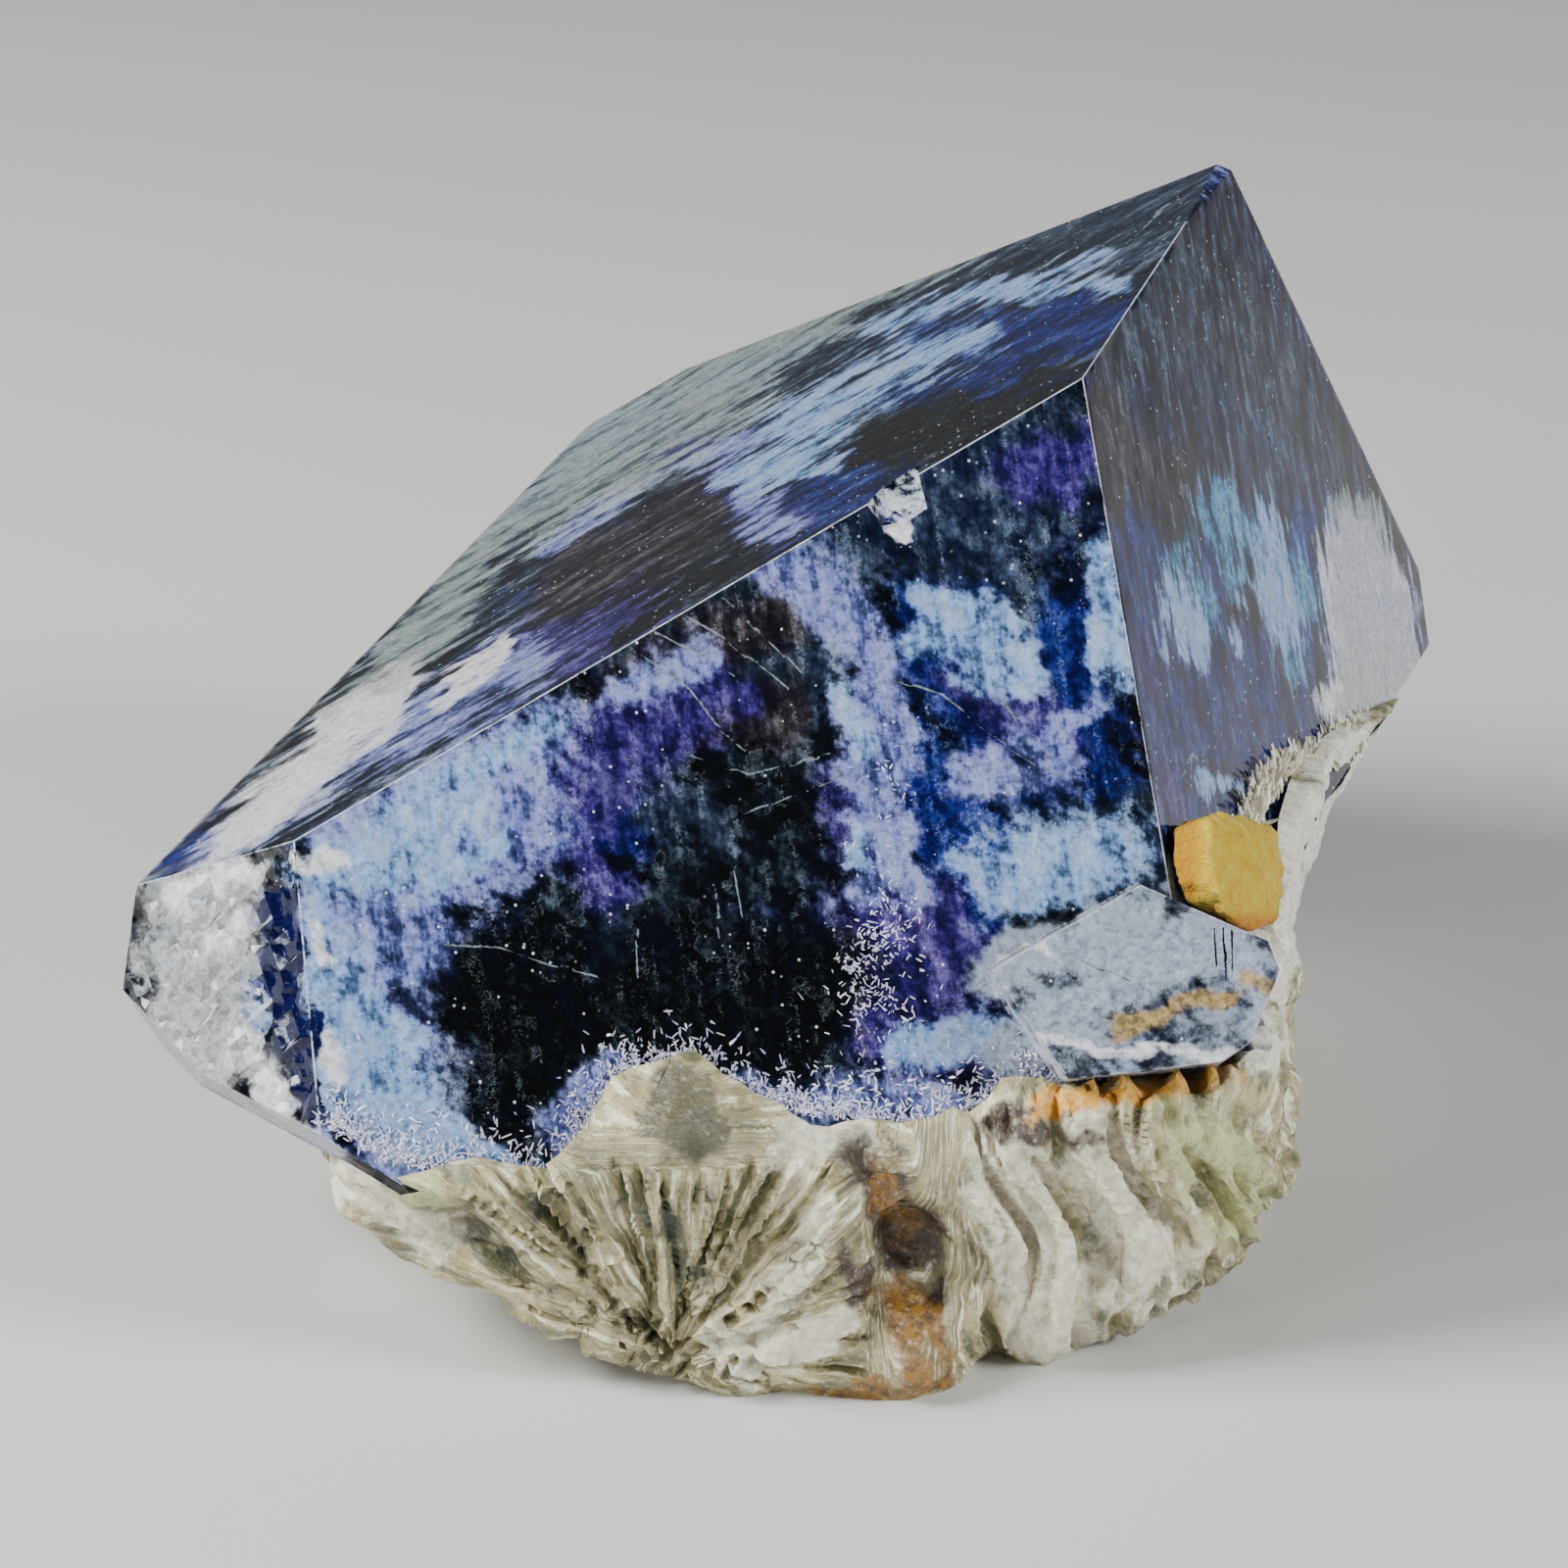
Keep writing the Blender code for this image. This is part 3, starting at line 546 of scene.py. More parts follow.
def inside_polygon(points, outline):
    inside = np.zeros(len(points), dtype=bool)
    x, y = points[:, 0], points[:, 1]
    for (x1, y1), (x2, y2) in sides(outline):
        crosses = (y1 > y) != (y2 > y)
        with np.errstate(divide="ignore", invalid="ignore"):
            at = (x2 - x1) * (y - y1) / (y2 - y1) + x1
        inside ^= crosses & (x < at)
    return inside


def clear_of_outline(points, outline, gap):
    keep = np.ones(len(points), dtype=bool)
    for (x1, y1), (x2, y2) in sides(outline):
        keep &= stroke_distance(points[:, 0], points[:, 1], (x1, y1, x2, y2)) > gap
    return keep


def refine_crystal():
    """Splits the worn crystal into small even triangles, face by face."""
    verts, polygons = cad_polygons()
    rng = np.random.default_rng(MESH_SEED)
    spacings = []
    for corners, _, area in polygons:
        middle = sum((verts[i] for i in corners), Vector()) / len(corners)
        spacings.append(spacing_at(middle, area))
    edge_spacing = {}
    for (corners, _, _), spacing in zip(polygons, spacings):
        for i, j in zip(corners, corners[1:] + corners[:1]):
            key = (min(i, j), max(i, j))
            edge_spacing[key] = min(edge_spacing.get(key, 9.0), spacing)
    splits = {}
    for (i, j), spacing in edge_spacing.items():
        count = max(1, round((verts[i] - verts[j]).length / spacing))
        made = []
        for k in range(1, count):
            made.append(len(verts))
            verts.append(verts[i].lerp(verts[j], k / count))
        splits[(i, j)] = made
    triangles = []
    groups = []
    true_face = []
    free = set()
    for (corners, normal, area), spacing in zip(polygons, spacings):
        loop = []
        for i, j in zip(corners, corners[1:] + corners[:1]):
            made = splits[(min(i, j), max(i, j))]
            loop.append(i)
            loop.extend(made if i < j else reversed(made))
        origin = verts[loop[0]]
        u, v = face_basis(normal)
        outline = np.array([((verts[i] - origin).dot(u), (verts[i] - origin).dot(v)) for i in loop])
        group, is_true = face_group(np.array(normal))
        inner = np.zeros((0, 2))
        if area > SMALL_FACE:
            low = outline.min(axis=0)
            high = outline.max(axis=0)
            rows = np.arange(low[1], high[1], spacing * 0.866)
            grid = []
            for k, y in enumerate(rows):
                xs = np.arange(low[0] + (k % 2) * spacing / 2, high[0], spacing)
                grid.append(np.column_stack((xs, np.full(len(xs), y))))
            grid = np.vstack(grid)
            grid += rng.uniform(-0.12, 0.12, grid.shape) * spacing
            if is_true and area > LARGE_FACE:
                lines = extra_line_points(origin, u, v, group)
                if lines:
                    grid = np.vstack((grid, np.array(lines)))
            grid = grid[inside_polygon(grid, outline)]
            inner = grid[clear_of_outline(grid, outline, spacing * 0.45)]
        first = len(verts)
        verts.extend(origin + u * float(a) + v * float(b) for a, b in inner)
        added = range(first, len(verts))
        free.update(added)
        ids = loop + list(added)
        flat = [Vector(p) for p in np.vstack((outline, inner))]
        result = delaunay_2d_cdt(flat, [], [list(range(len(loop)))], 1, 1e-5)
        origins = result[3]
        for tri in result[2]:
            if all(origins[k] for k in tri):
                triangles.append([ids[origins[k][0]] for k in tri])
                groups.append(group)
                true_face.append(is_true)
    return verts, triangles, np.array(groups), np.array(true_face), free


def crystal_relief(points, normals, groups):
    """Height of growth waves, etching and pitting on the flat faces, mm."""
    height = 0.030 * fractal(points / 3.1, 3, 11) + 0.010 * fractal(points / 0.7, 2, 17)
    rough = normals @ ROUGH_FACE[1] > 0.97
    pitted = np.abs(fractal(points / 1.1, 3, 23))
    height -= rough * 0.22 * ramp(0.30, 0.0, pitted)
    across, up = across_up(points)
    low = ramp(-5.0, -10.0, up) * (groups == 0)
    height -= low * 0.06 * np.abs(fractal(points / 0.8, 2, 29))
    steps = fractal(np.column_stack((across * 0.25 + up * 0.5, across, up)) / 2.2, 2, 31)
    height -= 0.03 * ramp(0.0, 0.12, steps) * (groups == 0)
    return height


def wandering(points, coarse, fine):
    """Front-view coordinates shaken so that outlines wander like real zoning."""
    across, up = across_up(points)
    across = across + coarse * fractal(points / 2.6, 2, 101) + fine * fractal(points / 0.75, 3, 103)
    up = up + coarse * fractal(points / 2.6, 2, 107) + fine * fractal(points / 0.75, 3, 109)
    return across, up


def zone_masks(points, group):
    """One value from 0 to 1 a layer, 0.5 on a zone's outline."""
    across, up = wandering(points, 0.95, 0.50)
    masks = np.zeros((len(points), len(LAYERS) + len(GUIDES)))
    for name, layer, strokes in ZONES:
        if GROUPS.index(name) != group:
            continue
        column = LAYERS.index(layer)
        for row in strokes:
            half, soft = row[4], min(1.0, row[5] * 1.35)
            apart = stroke_distance(across, up, row) / half
            value = 1.0 - ramp(1.0 - soft, 1.0 + soft, apart)
            masks[:, column] = np.maximum(masks[:, column], value)
    return masks


def line_mask(points, group, rows, width):
    """0 to 1, highest on thin lines of a group's faces."""
    across, up = wandering(points, 0.22, 0.10)
    value = np.zeros(len(points))
    for name, nodes in rows:
        if GROUPS.index(name) != group:
            continue
        for (x1, y1), (x2, y2) in zip(nodes, nodes[1:]):
            apart = stroke_distance(across, up, (x1, y1, x2, y2)) / width
            value = np.maximum(value, np.clip(1.4 - apart * 0.7, 0.0, 1.0))
    return value


def back_masks(points):
    """Guessed zoning on the faces that the front view doesn't show."""
    masks = np.zeros((len(points), len(LAYERS) + len(GUIDES)))
    cloud = fractal(points / 6.0, 3, 47)
    drift = fractal(points / 9.0, 3, 41)
    for name, low, high, values in (
        ("royal", -0.30, 0.30, drift), ("dark", 0.10, 0.55, -drift),
        ("violet", -0.05, 0.35, fractal(points / 7.0, 3, 53)),
        ("lilac", -0.05, 0.40, cloud), ("ice", 0.10, 0.55, -cloud),
        ("pale", -0.10, 0.45, fractal(points / 8.0, 3, 59)),
    ):
        masks[:, LAYERS.index(name)] = ramp(low, high, values)
    masks[:, LAYERS.index("pale")] *= ramp(26.0, 38.0, points[:, 1])
    return masks


def rub_and_highlight_strength(points):
    """How strongly each edge is painted pale, as rubbed wear and painted highlight: most on the
    ridge between the upper and right faces.
    """
    front, upper, right = (
        np.abs(outside_plane(points, plane)) < 0.3 for plane in (FRONT_FACE, UPPER_FACE, RIGHT_FACE)
    )
    strength = np.full(len(points), 0.52)
    strength[upper & right] = 1.0
    strength[front & right] = 0.66
    strength[front & upper] = 0.70
    return strength


# Depth in mm from which each group's zones are guessed
HIDDEN_FROM = {"front": 60.0, "upper": 42.0, "right": 60.0}
OUTSIDE = 0.55
# Faces that meet at more than this many degrees are shaded apart
CRYSTAL_CREASE = 17.0
MICA_CREASE = 50.0


def zone_layers(points, corner_group, corner_true):
    """The values of all layers and guides at the corners of the crystal's triangles."""
    masks = np.zeros((len(points), len(LAYERS) + len(GUIDES)))
    for group, name in enumerate(GROUPS):
        chosen = corner_group == group
        here = points[chosen]
        if name == "back":
            masks[chosen] = back_masks(here)
            continue
        start = HIDDEN_FROM[name]
        hidden = ramp(start, start + 5.0, here[:, 1])[:, None]
        masks[chosen] = zone_masks(here, group) * (1.0 - hidden) + back_masks(here) * hidden
        for layer, rows in (("line", BRIGHT_LINES), ("scratch", DARK_LINES)):
            masks[chosen, LAYERS.index(layer)] = line_mask(here, group, rows, LINE_WIDTH)
    milk = LAYERS.index("milk")
    block = 0.52 * ramp(0.25, 0.5, outside_plane(points, FRONT_FACE))
    masks[:, milk] = np.maximum(masks[:, milk], block)
    # Pale paint on the ridges: partly rubbed wear, partly painted highlight
    masks[:, LAYERS.index("rub")] = np.where(corner_true, 0.0, rub_and_highlight_strength(points))
    # Well below zero away from every zone, so that the noise can't bring a layer out there
    layers = masks[:, :len(LAYERS)]
    layers -= OUTSIDE * (1.0 - ramp(0.0, 0.12, layers))
    for i, name in enumerate(("upper", "right")):
        masks[:, len(LAYERS) + i] = corner_group == GROUPS.index(name)
    return masks


def make_crystal():
    """The fluorite octahedron with its grown-on block."""
    verts, triangles, groups, true_face, free = refine_crystal()
    points = np.array([tuple(v) for v in verts])
    tris = np.array(triangles)
    a, b, c = points[tris[:, 0]], points[tris[:, 1]], points[tris[:, 2]]
    cross = np.cross(b - a, c - a)
    normals = cross / np.maximum(np.linalg.norm(cross, axis=1, keepdims=True), 1e-12)
    vert_normal = np.zeros_like(points)
    vert_group = np.zeros(len(points), dtype=int)
    for k in range(3):
        vert_normal[tris[:, k]] = normals
        vert_group[tris[:, k]] = groups
    loose = np.zeros(len(points))
    loose[list(free)] = 1.0
    height = crystal_relief(points, vert_normal, vert_group) * loose
    placed = points + vert_normal * height[:, None]
    obj = new_piece(
        "fluorite_octahedron", in_metres(placed), triangles, "fluorite", "fluorite_crystal"
    )
    masks = zone_layers(points[tris.reshape(-1)], np.repeat(groups, 3), np.repeat(true_face, 3))
    store_layers(obj, "zones", masks, "CORNER")
    finish_look(obj, fluorite_material(), CRYSTAL_CREASE)


def finish_look(obj, material, crease=None):
    """Smooth shading up to a crease angle where one is given, and the material."""
    if crease is not None:
        obj.data.shade_smooth()
        obj.data.set_sharp_from_angle(angle=math.radians(crease))
    obj.data.materials.append(material)


class Tree:
    """Short calls for building a node tree."""

    def __init__(self, name):
        self.mat = bpy.data.materials.new(name)
        self.mat.use_nodes = True
        self.nodes = self.mat.node_tree.nodes
        self.links = self.mat.node_tree.links
        self.shader = self.nodes["Principled BSDF"]

    def node(self, kind, **values):
        made = self.nodes.new(kind)
        for key, value in values.items():
            setattr(made, key, value)
        return made

    def join(self, source, target):
        self.links.new(source, target)

    def feed(self, socket, value):
        """A link, or a plain number or colour."""
        if isinstance(value, bpy.types.NodeSocket):
            self.join(value, socket)
        elif socket.type == "RGBA":
            socket.default_value = (*value, 1.0)
        else:
            socket.default_value = value

    def math(self, operation, a, b=0.0, c=0.0):
        made = self.node("ShaderNodeMath", operation=operation)
        self.feed(made.inputs[0], a)
        self.feed(made.inputs[1], b)
        self.feed(made.inputs[2], c)
        return made.outputs[0]

    def ramp(self, value, low, high, out_low=0.0, out_high=1.0):
        made = self.node("ShaderNodeMapRange", interpolation_type="SMOOTHSTEP")
        self.feed(made.inputs["Value"], value)
        made.inputs["From Min"].default_value = low
        made.inputs["From Max"].default_value = high
        made.inputs["To Min"].default_value = out_low
        made.inputs["To Max"].default_value = out_high
        return made.outputs["Result"]

    def mixed(self, kind, first, output, *values):
        made = self.node("ShaderNodeMix", data_type=kind)
        for socket, value in zip((0, first, first + 1), values):
            self.feed(made.inputs[socket], value)
        return made.outputs[output]

    def mix_colour(self, share, a, b):
        return self.mixed("RGBA", 6, 2, share, a, b)

    def mix(self, share, a, b):
        return self.mixed("FLOAT", 2, 0, share, a, b)

    def vector(self, operation, a, b, output=0):
        """A vector operation whose second input is a plain value, or None, or a scale."""
        made = self.node("ShaderNodeVectorMath", operation=operation)
        self.join(a, made.inputs[0])
        self.feed(made.inputs["Scale"] if operation == "SCALE" else made.inputs[1], b)
        return made.outputs[output]

    def channels(self, colour):
        made = self.node("ShaderNodeSeparateColor")
        self.join(colour, made.inputs["Color"])
        return made.outputs

    def layers(self, attribute, names):
        """The named values that store_layers kept under an attribute's name."""
        values = {}
        for i in range(0, len(names), 4):
            found = self.node("ShaderNodeAttribute", attribute_name=f"{attribute}_{i // 4}")
            parts = (*self.channels(found.outputs["Color"])[:3], found.outputs["Alpha"])
            values.update(zip(names[i:i + 4], parts))
        return values

    def surface(self, **values):
        """Joins or sets inputs of the shader, named with _ for a space."""
        for name, value in values.items():
            self.feed(self.shader.inputs[name.replace("_", " ")], value)

    def noise(self, vector, scale, detail=4.0, rough=0.6, distortion=0.0):
        made = self.node("ShaderNodeTexNoise")
        self.join(vector, made.inputs["Vector"])
        made.inputs["Scale"].default_value = scale
        made.inputs["Detail"].default_value = detail
        made.inputs["Roughness"].default_value = rough
        made.inputs["Distortion"].default_value = distortion
        return made.outputs["Fac"]

    def cells(self, vector, scale):
        made = self.node("ShaderNodeTexVoronoi")
        self.join(vector, made.inputs["Vector"])
        made.inputs["Scale"].default_value = scale
        return made

    def millimetres(self):
        """Object coordinates in mm."""
        return self.vector("SCALE", self.node("ShaderNodeTexCoord").outputs["Object"], 1000.0)

    def streaked(self, vector, axis, along, sideways):
        """Coordinates scaled by one number along an axis and another across it."""
        axis = Vector(axis).normalized()
        u, v = face_basis(axis)
        made = self.node("ShaderNodeCombineXYZ")
        for i, (direction, size) in enumerate(((axis, along), (u, sideways), (v, sideways))):
            self.join(self.vector("DOT_PRODUCT", vector, direction * size, "Value"), made.inputs[i])
        return made.outputs[0]

    def bump(self, height, strength, distance):
        made = self.node("ShaderNodeBump")
        self.join(height, made.inputs["Height"])
        made.inputs["Strength"].default_value = strength
        made.inputs["Distance"].default_value = distance
        return made.outputs["Normal"]


# Colour of each layer of the fluorite, and whether its edge is hazy
FLUORITE_LAYERS = {
    "slate": ((0.085, 0.130, 0.230), True),
    # Painted reflection of inner faces, as warm dark grey windows
    "warm": ((0.120, 0.098, 0.118), True),
    "royal": ((0.016, 0.045, 0.420), True),
    "violet": ((0.120, 0.075, 0.430), True),
    # Near-black: partly deep colour, partly painted shade seen through the clear crystal
    "dark": ((0.0060, 0.0120, 0.0130), True),
    "lilac": ((0.300, 0.350, 0.720), True),
    "teal": ((0.090, 0.360, 0.640), True),
    "ice": ((0.360, 0.540, 0.860), True),
    "pale": ((0.480, 0.580, 0.580), True),
    "milk": ((0.430, 0.510, 0.640), True),
    "frost": ((0.480, 0.500, 0.500), True),
    "stain": ((0.560, 0.390, 0.150), True),
    # White: veils in the crystal, and painted glow at the backlit tips
    "white": ((0.930, 0.950, 1.000), True),
    "ink": ((0.006, 0.014, 0.210), False),
    # Pale ridges: partly rubbed wear, partly painted highlight along the edges
    "rub": ((0.740, 0.800, 0.880), False),
    "line": ((0.260, 0.330, 0.360), False),
    "scratch": ((0.010, 0.012, 0.030), False),
}
# How strongly a zone's own gradient counts against the noise, and where its edge falls
GRADIENT = 1.3
HAZY_EDGE = (0.18, 1.20)
CRISP_EDGE = (0.45, 0.85)
RIDGE_AXIS = (0.858, 0.259, 0.442)
FALL_AXIS = (0.159, -0.451, -0.876)
SLOPE_AXIS = (0.80, -0.28, -0.53)


def lay(tree, colour, names, values, shake):
    """The named layers painted one over another, their edges shaken."""
    for name in names:
        paint, hazy = FLUORITE_LAYERS[name]
        edge = HAZY_EDGE if hazy else CRISP_EDGE
        share = tree.ramp(tree.math("MULTIPLY_ADD", values[name], GRADIENT, shake), *edge)
        colour = tree.mix_colour(share, colour, paint)
    return colour


def fluorite_material():
    """Clear crystal with absorption, its colour zones layered over the ground colour."""
    tree = Tree("fluorite")
    where = tree.millimetres()
    values = tree.layers("zones", LAYERS + GUIDES)
    feather = tree.noise(where, 0.95, 4.0, 0.76)
    streak = tree.noise(tree.streaked(where, RIDGE_AXIS, 0.30, 0.95), 1.0, 3.0, 0.68)
    streak = tree.mix(0.30, streak, feather)
    fall = tree.noise(tree.streaked(where, FALL_AXIS, 0.35, 1.6), 1.0, 3.0, 0.70)
    cloud = tree.noise(where, 0.30, 0.0, 0.5)
    fine = tree.noise(where, 3.1, 2.0, 0.78)
    slope = tree.noise(tree.streaked(where, SLOPE_AXIS, 0.30, 1.3), 1.0, 2.0, 0.72)
    frontal = tree.mix(0.40, feather, slope)
    wobble = tree.mix(values["on upper"], tree.mix(values["on right"], frontal, fall), streak)
    shake = tree.math("MULTIPLY", tree.math("SUBTRACT", wobble, 0.5), 2.9)
    low = tree.mix_colour(values["on upper"], (0.008, 0.014, 0.022), (0.022, 0.036, 0.060))
    low = tree.mix_colour(values["on right"], low, (0.010, 0.020, 0.050))
    high = tree.mix_colour(values["on upper"], (0.070, 0.105, 0.150), (0.150, 0.210, 0.300))
    high = tree.mix_colour(values["on right"], high, (0.060, 0.105, 0.230))
    colour = tree.mix_colour(tree.ramp(wobble, 0.38, 0.64), low, high)
    colour = tree.mix_colour(
        tree.math("MULTIPLY", tree.ramp(cloud, 0.48, 0.64), tree.ramp(wobble, 0.42, 0.58)),
        colour, (0.045, 0.055, 0.260),
    )
    colour = lay(tree, colour, LAYERS[:LAYERS.index("milk")], values, shake)
    # Deeper and paler streaks inside the coloured zones
    grain = tree.mix(values["on upper"], tree.mix(0.55, fall, frontal), streak)
    deepen = tree.node("ShaderNodeGamma")
    tree.join(colour, deepen.inputs["Color"])
    tree.join(tree.ramp(grain, 0.38, 0.64, 1.60, 0.68), deepen.inputs["Gamma"])
    colour = tree.mix_colour(
        tree.ramp(grain, 0.50, 0.40, 0.0, 0.45), deepen.outputs["Color"], (0.014, 0.024, 0.050)
    )
    colour = lay(tree, colour, LAYERS[LAYERS.index("milk"):], values, shake)
    # Mottling, wisps, short cracks, and painted sparkles: small bright glints in scattered cells
    colour = tree.vector("SCALE", colour, tree.ramp(fine, 0.32, 0.68, 0.70, 1.28))
    wisps = tree.math("MULTIPLY", tree.ramp(wobble, 0.47, 0.70), tree.ramp(fine, 0.44, 0.64))
    colour = tree.mix_colour(tree.math("MULTIPLY", wisps, 0.60), colour, (0.15, 0.21, 0.27))
    cracks = tree.math("ABSOLUTE", tree.math("SUBTRACT", feather, 0.5))
    cracks = tree.math("MULTIPLY", tree.ramp(cracks, 0.012, 0.002), tree.ramp(fall, 0.46, 0.60))
    colour = tree.mix_colour(tree.math("MULTIPLY", cracks, 0.45), colour, (0.42, 0.50, 0.56))
    # Painted sparkles: near-white glints where a chosen cell's dot is small
    sparkle_cells = tree.cells(where, 3.4)
    bright = tree.math(
        "MULTIPLY", tree.ramp(sparkle_cells.outputs["Distance"], 0.24, 0.10),
        tree.ramp(tree.channels(sparkle_cells.outputs["Color"])[0], 0.80, 0.90),
    )
    bright = tree.math("MULTIPLY", bright, tree.ramp(cloud, 0.40, 0.56))
    colour = tree.mix_colour(bright, colour, (0.85, 0.88, 0.96))
    # The brighter a place, the milkier it is
    level = tree.node("ShaderNodeRGBToBW")
    tree.join(colour, level.inputs["Color"])
    light = level.outputs["Val"]
    body = tree.math("MULTIPLY_ADD", tree.channels(colour)[2], 0.35, light)
    clear = tree.ramp(body, 0.0, 0.62, 0.88, 0.34)
    clear = tree.mix(tree.ramp(values["pale"], 0.3, 0.7), clear, 0.55)
    tree.surface(
        Base_Color=colour, Transmission_Weight=clear, IOR=1.434,
        Roughness=tree.ramp(light, 0.02, 0.70, 0.05, 0.28),
    )
    absorb = tree.node("ShaderNodeVolumeAbsorption")
    absorb.inputs["Color"].default_value = (0.20, 0.34, 0.76, 1.0)
    absorb.inputs["Density"].default_value = 220.0
    tree.join(absorb.outputs["Volume"], tree.nodes["Material Output"].inputs["Volume"])
    return tree.mat




# Colour layers of the mica lump on the front view: strokes as for the zones
MICA_LAYERS = ("crease_shade", "cream", "olive", "brown", "amber", "seam", "lime", "crust")
MICA_ZONES = {
    # Painted shade: dark green between the fan's blades
    "crease_shade": (
        (-8.5, -14.2, -4.6, -18.2, 1.5, 0.7), (-5.0, -14.4, -3.6, -18.0, 1.4, 0.7),
        (-2.2, -14.2, -2.8, -17.4, 1.1, 0.7), (-11.0, -15.0, -8.0, -17.0, 0.8, 0.8),
    ),
    "cream": (
        (1.2, -14.9, -1.4, -20.4, 0.62, 0.6), (0.2, -12.3, 2.9, -12.0, 0.75, 0.5),
        (7.4, -13.2, 9.4, -18.8, 1.6, 0.6), (10.6, -12.0, 12.2, -17.0, 1.6, 0.7),
        (-14.9, -13.4, -12.2, -15.6, 1.1, 0.6), (-1.6, -19.6, 1.6, -18.6, 0.7, 0.7),
    ),
    "olive": ((-3.5, -10.9, -3.1, -11.2, 1.35, 0.35), (-12.0, -14.6, -11.0, -15.2, 0.6, 0.8)),
    "brown": (
        (3.2, -12.8, 4.2, -15.8, 1.0, 0.8), (4.6, -15.2, 5.2, -17.8, 0.8, 0.8),
        (7.0, -11.6, 10.4, -11.9, 0.40, 0.8), (2.2, -16.0, 3.0, -17.6, 0.6, 0.9),
    ),
    "amber": (
        (4.0, -17.6, 4.6, -19.8, 0.75, 0.8), (1.5, -20.9, 5.2, -20.6, 0.5, 0.8),
        (3.4, -14.0, 3.9, -15.0, 0.4, 0.9), (5.2, -18.6, 5.6, -20.0, 0.4, 0.9),
    ),
    "seam": (
        (8.4, -11.0, 12.6, -10.3, 0.42, 0.6), (12.6, -10.3, 15.4, -9.3, 0.55, 0.5),
        (15.4, -9.3, 16.2, -8.2, 0.5, 0.5),
    ),
    "lime": ((14.2, -11.6, 16.2, -15.0, 1.5, 0.7), (-12.8, -13.6, -11.6, -14.4, 0.7, 0.8)),
    "crust": ((17.5, -5.4, 22.0, 0.2, 2.6, 0.4), (16.6, -8.4, 17.2, -5.0, 1.2, 0.6)),
}
FAN_ACROSS, FAN_UP = -3.7, -19.6
BROWN_HOLLOW = (3.3, -12.9, 4.9, -17.2)
AMBER_BUMP = (4.0, -18.4, 4.6, -20.0)


def crystal_distance(points):
    """How far outside the crystal each point lies, mm."""
    return np.max([outside_plane(points, plane) for plane in PLANES], axis=0)


def torn_lines(points):
    """What the fan, the ribs and the sheets of the mica run along."""
    across, up = across_up(points)
    turn = np.degrees(np.arctan2(up - FAN_UP, across - FAN_ACROSS))
    reach = np.hypot(across - FAN_ACROSS, up - FAN_UP)
    lean = across + 0.25 * up + 0.5 * np.sin(up * 0.9)
    tilt = points[:, 2] + 0.14 * points[:, 0] - 0.08 * points[:, 1]
    return turn, reach, lean, tilt


def mica_relief(points, normals):
    """Torn sheets, blades and ribs of the mica, mm."""
    across, up = across_up(points)
    turn, reach, lean, tilt = torn_lines(points)
    front = ramp(4.0, -2.0, points[:, 1])
    fan = np.column_stack((turn * 0.16, reach * 0.16, np.zeros(len(turn))))
    in_fan = front * ramp(-14.0, -11.0, across) * ramp(3.6, 2.2, across) * ramp(-12.0, -13.2, up)
    relief = in_fan * 0.55 * (0.9 - 3.0 * np.abs(fractal(fan, 3, 61)))
    ribs = np.column_stack((lean * 1.05, up * 0.20, points[:, 1] * 0.3))
    in_ribs = ramp(5.2, 7.2, across) * ramp(12.0, 4.0, points[:, 1])
    relief += in_ribs * 0.62 * (0.8 - 3.0 * np.abs(fractal(ribs, 3, 67)))
    sheet = np.column_stack((points[:, 0] * 0.12, points[:, 1] * 0.12, tilt * 1.5))
    relief += (1.0 - np.maximum(in_fan, in_ribs)) * 0.40 * fractal(sheet, 4, 71)
    relief += 0.12 * fractal(points / 0.85, 3, 73)
    relief += 0.05 * fractal(points / 0.28, 2, 79)
    relief -= front * 0.9 * ramp(1.5, 0.3, stroke_distance(across, up, BROWN_HOLLOW))
    relief += front * 0.5 * ramp(1.3, 0.3, stroke_distance(across, up, AMBER_BUMP))
    lobe = ramp(3.0, 2.2, np.hypot(across + 3.4, up + 11.0)) * front
    relief *= 1.0 - 0.5 * lobe
    settle = ramp(0.0, 0.9, points[:, 2]) * ramp(0.15, 0.8, crystal_distance(points))
    return np.clip(relief, -0.95, 0.45) * settle


def mica_layers(points, relief):
    """The values of the mica's colour layers, with painted shade in its creases and recesses."""
    across, up = wandering(points, 0.9, 0.6)
    front = ramp(6.0, 0.0, points[:, 1])
    masks = np.zeros((len(points), len(MICA_LAYERS)))
    for i, name in enumerate(MICA_LAYERS):
        for row in MICA_ZONES[name]:
            apart = stroke_distance(across, up, row) / row[4]
            masks[:, i] = np.maximum(masks[:, i], 1.0 - ramp(1.0 - row[5], 1.0 + row[5], apart))
        masks[:, i] *= 1.0 if name == "crust" else front
    # Painted shade: the crease colour comes in where the relief sinks into recesses
    recess_shade = 1.0 - ramp(-0.45, 0.10, relief)
    masks[:, 0] = np.maximum(masks[:, 0] * (0.30 + 0.70 * recess_shade), recess_shade * 0.52)
    return masks


def split_long(bm, edges, cuts):
    """Cuts the given edges and leaves triangles."""
    bmesh.ops.subdivide_edges(bm, edges=edges, cuts=cuts, use_grid_fill=True)
    bmesh.ops.triangulate(bm, faces=bm.faces[:])


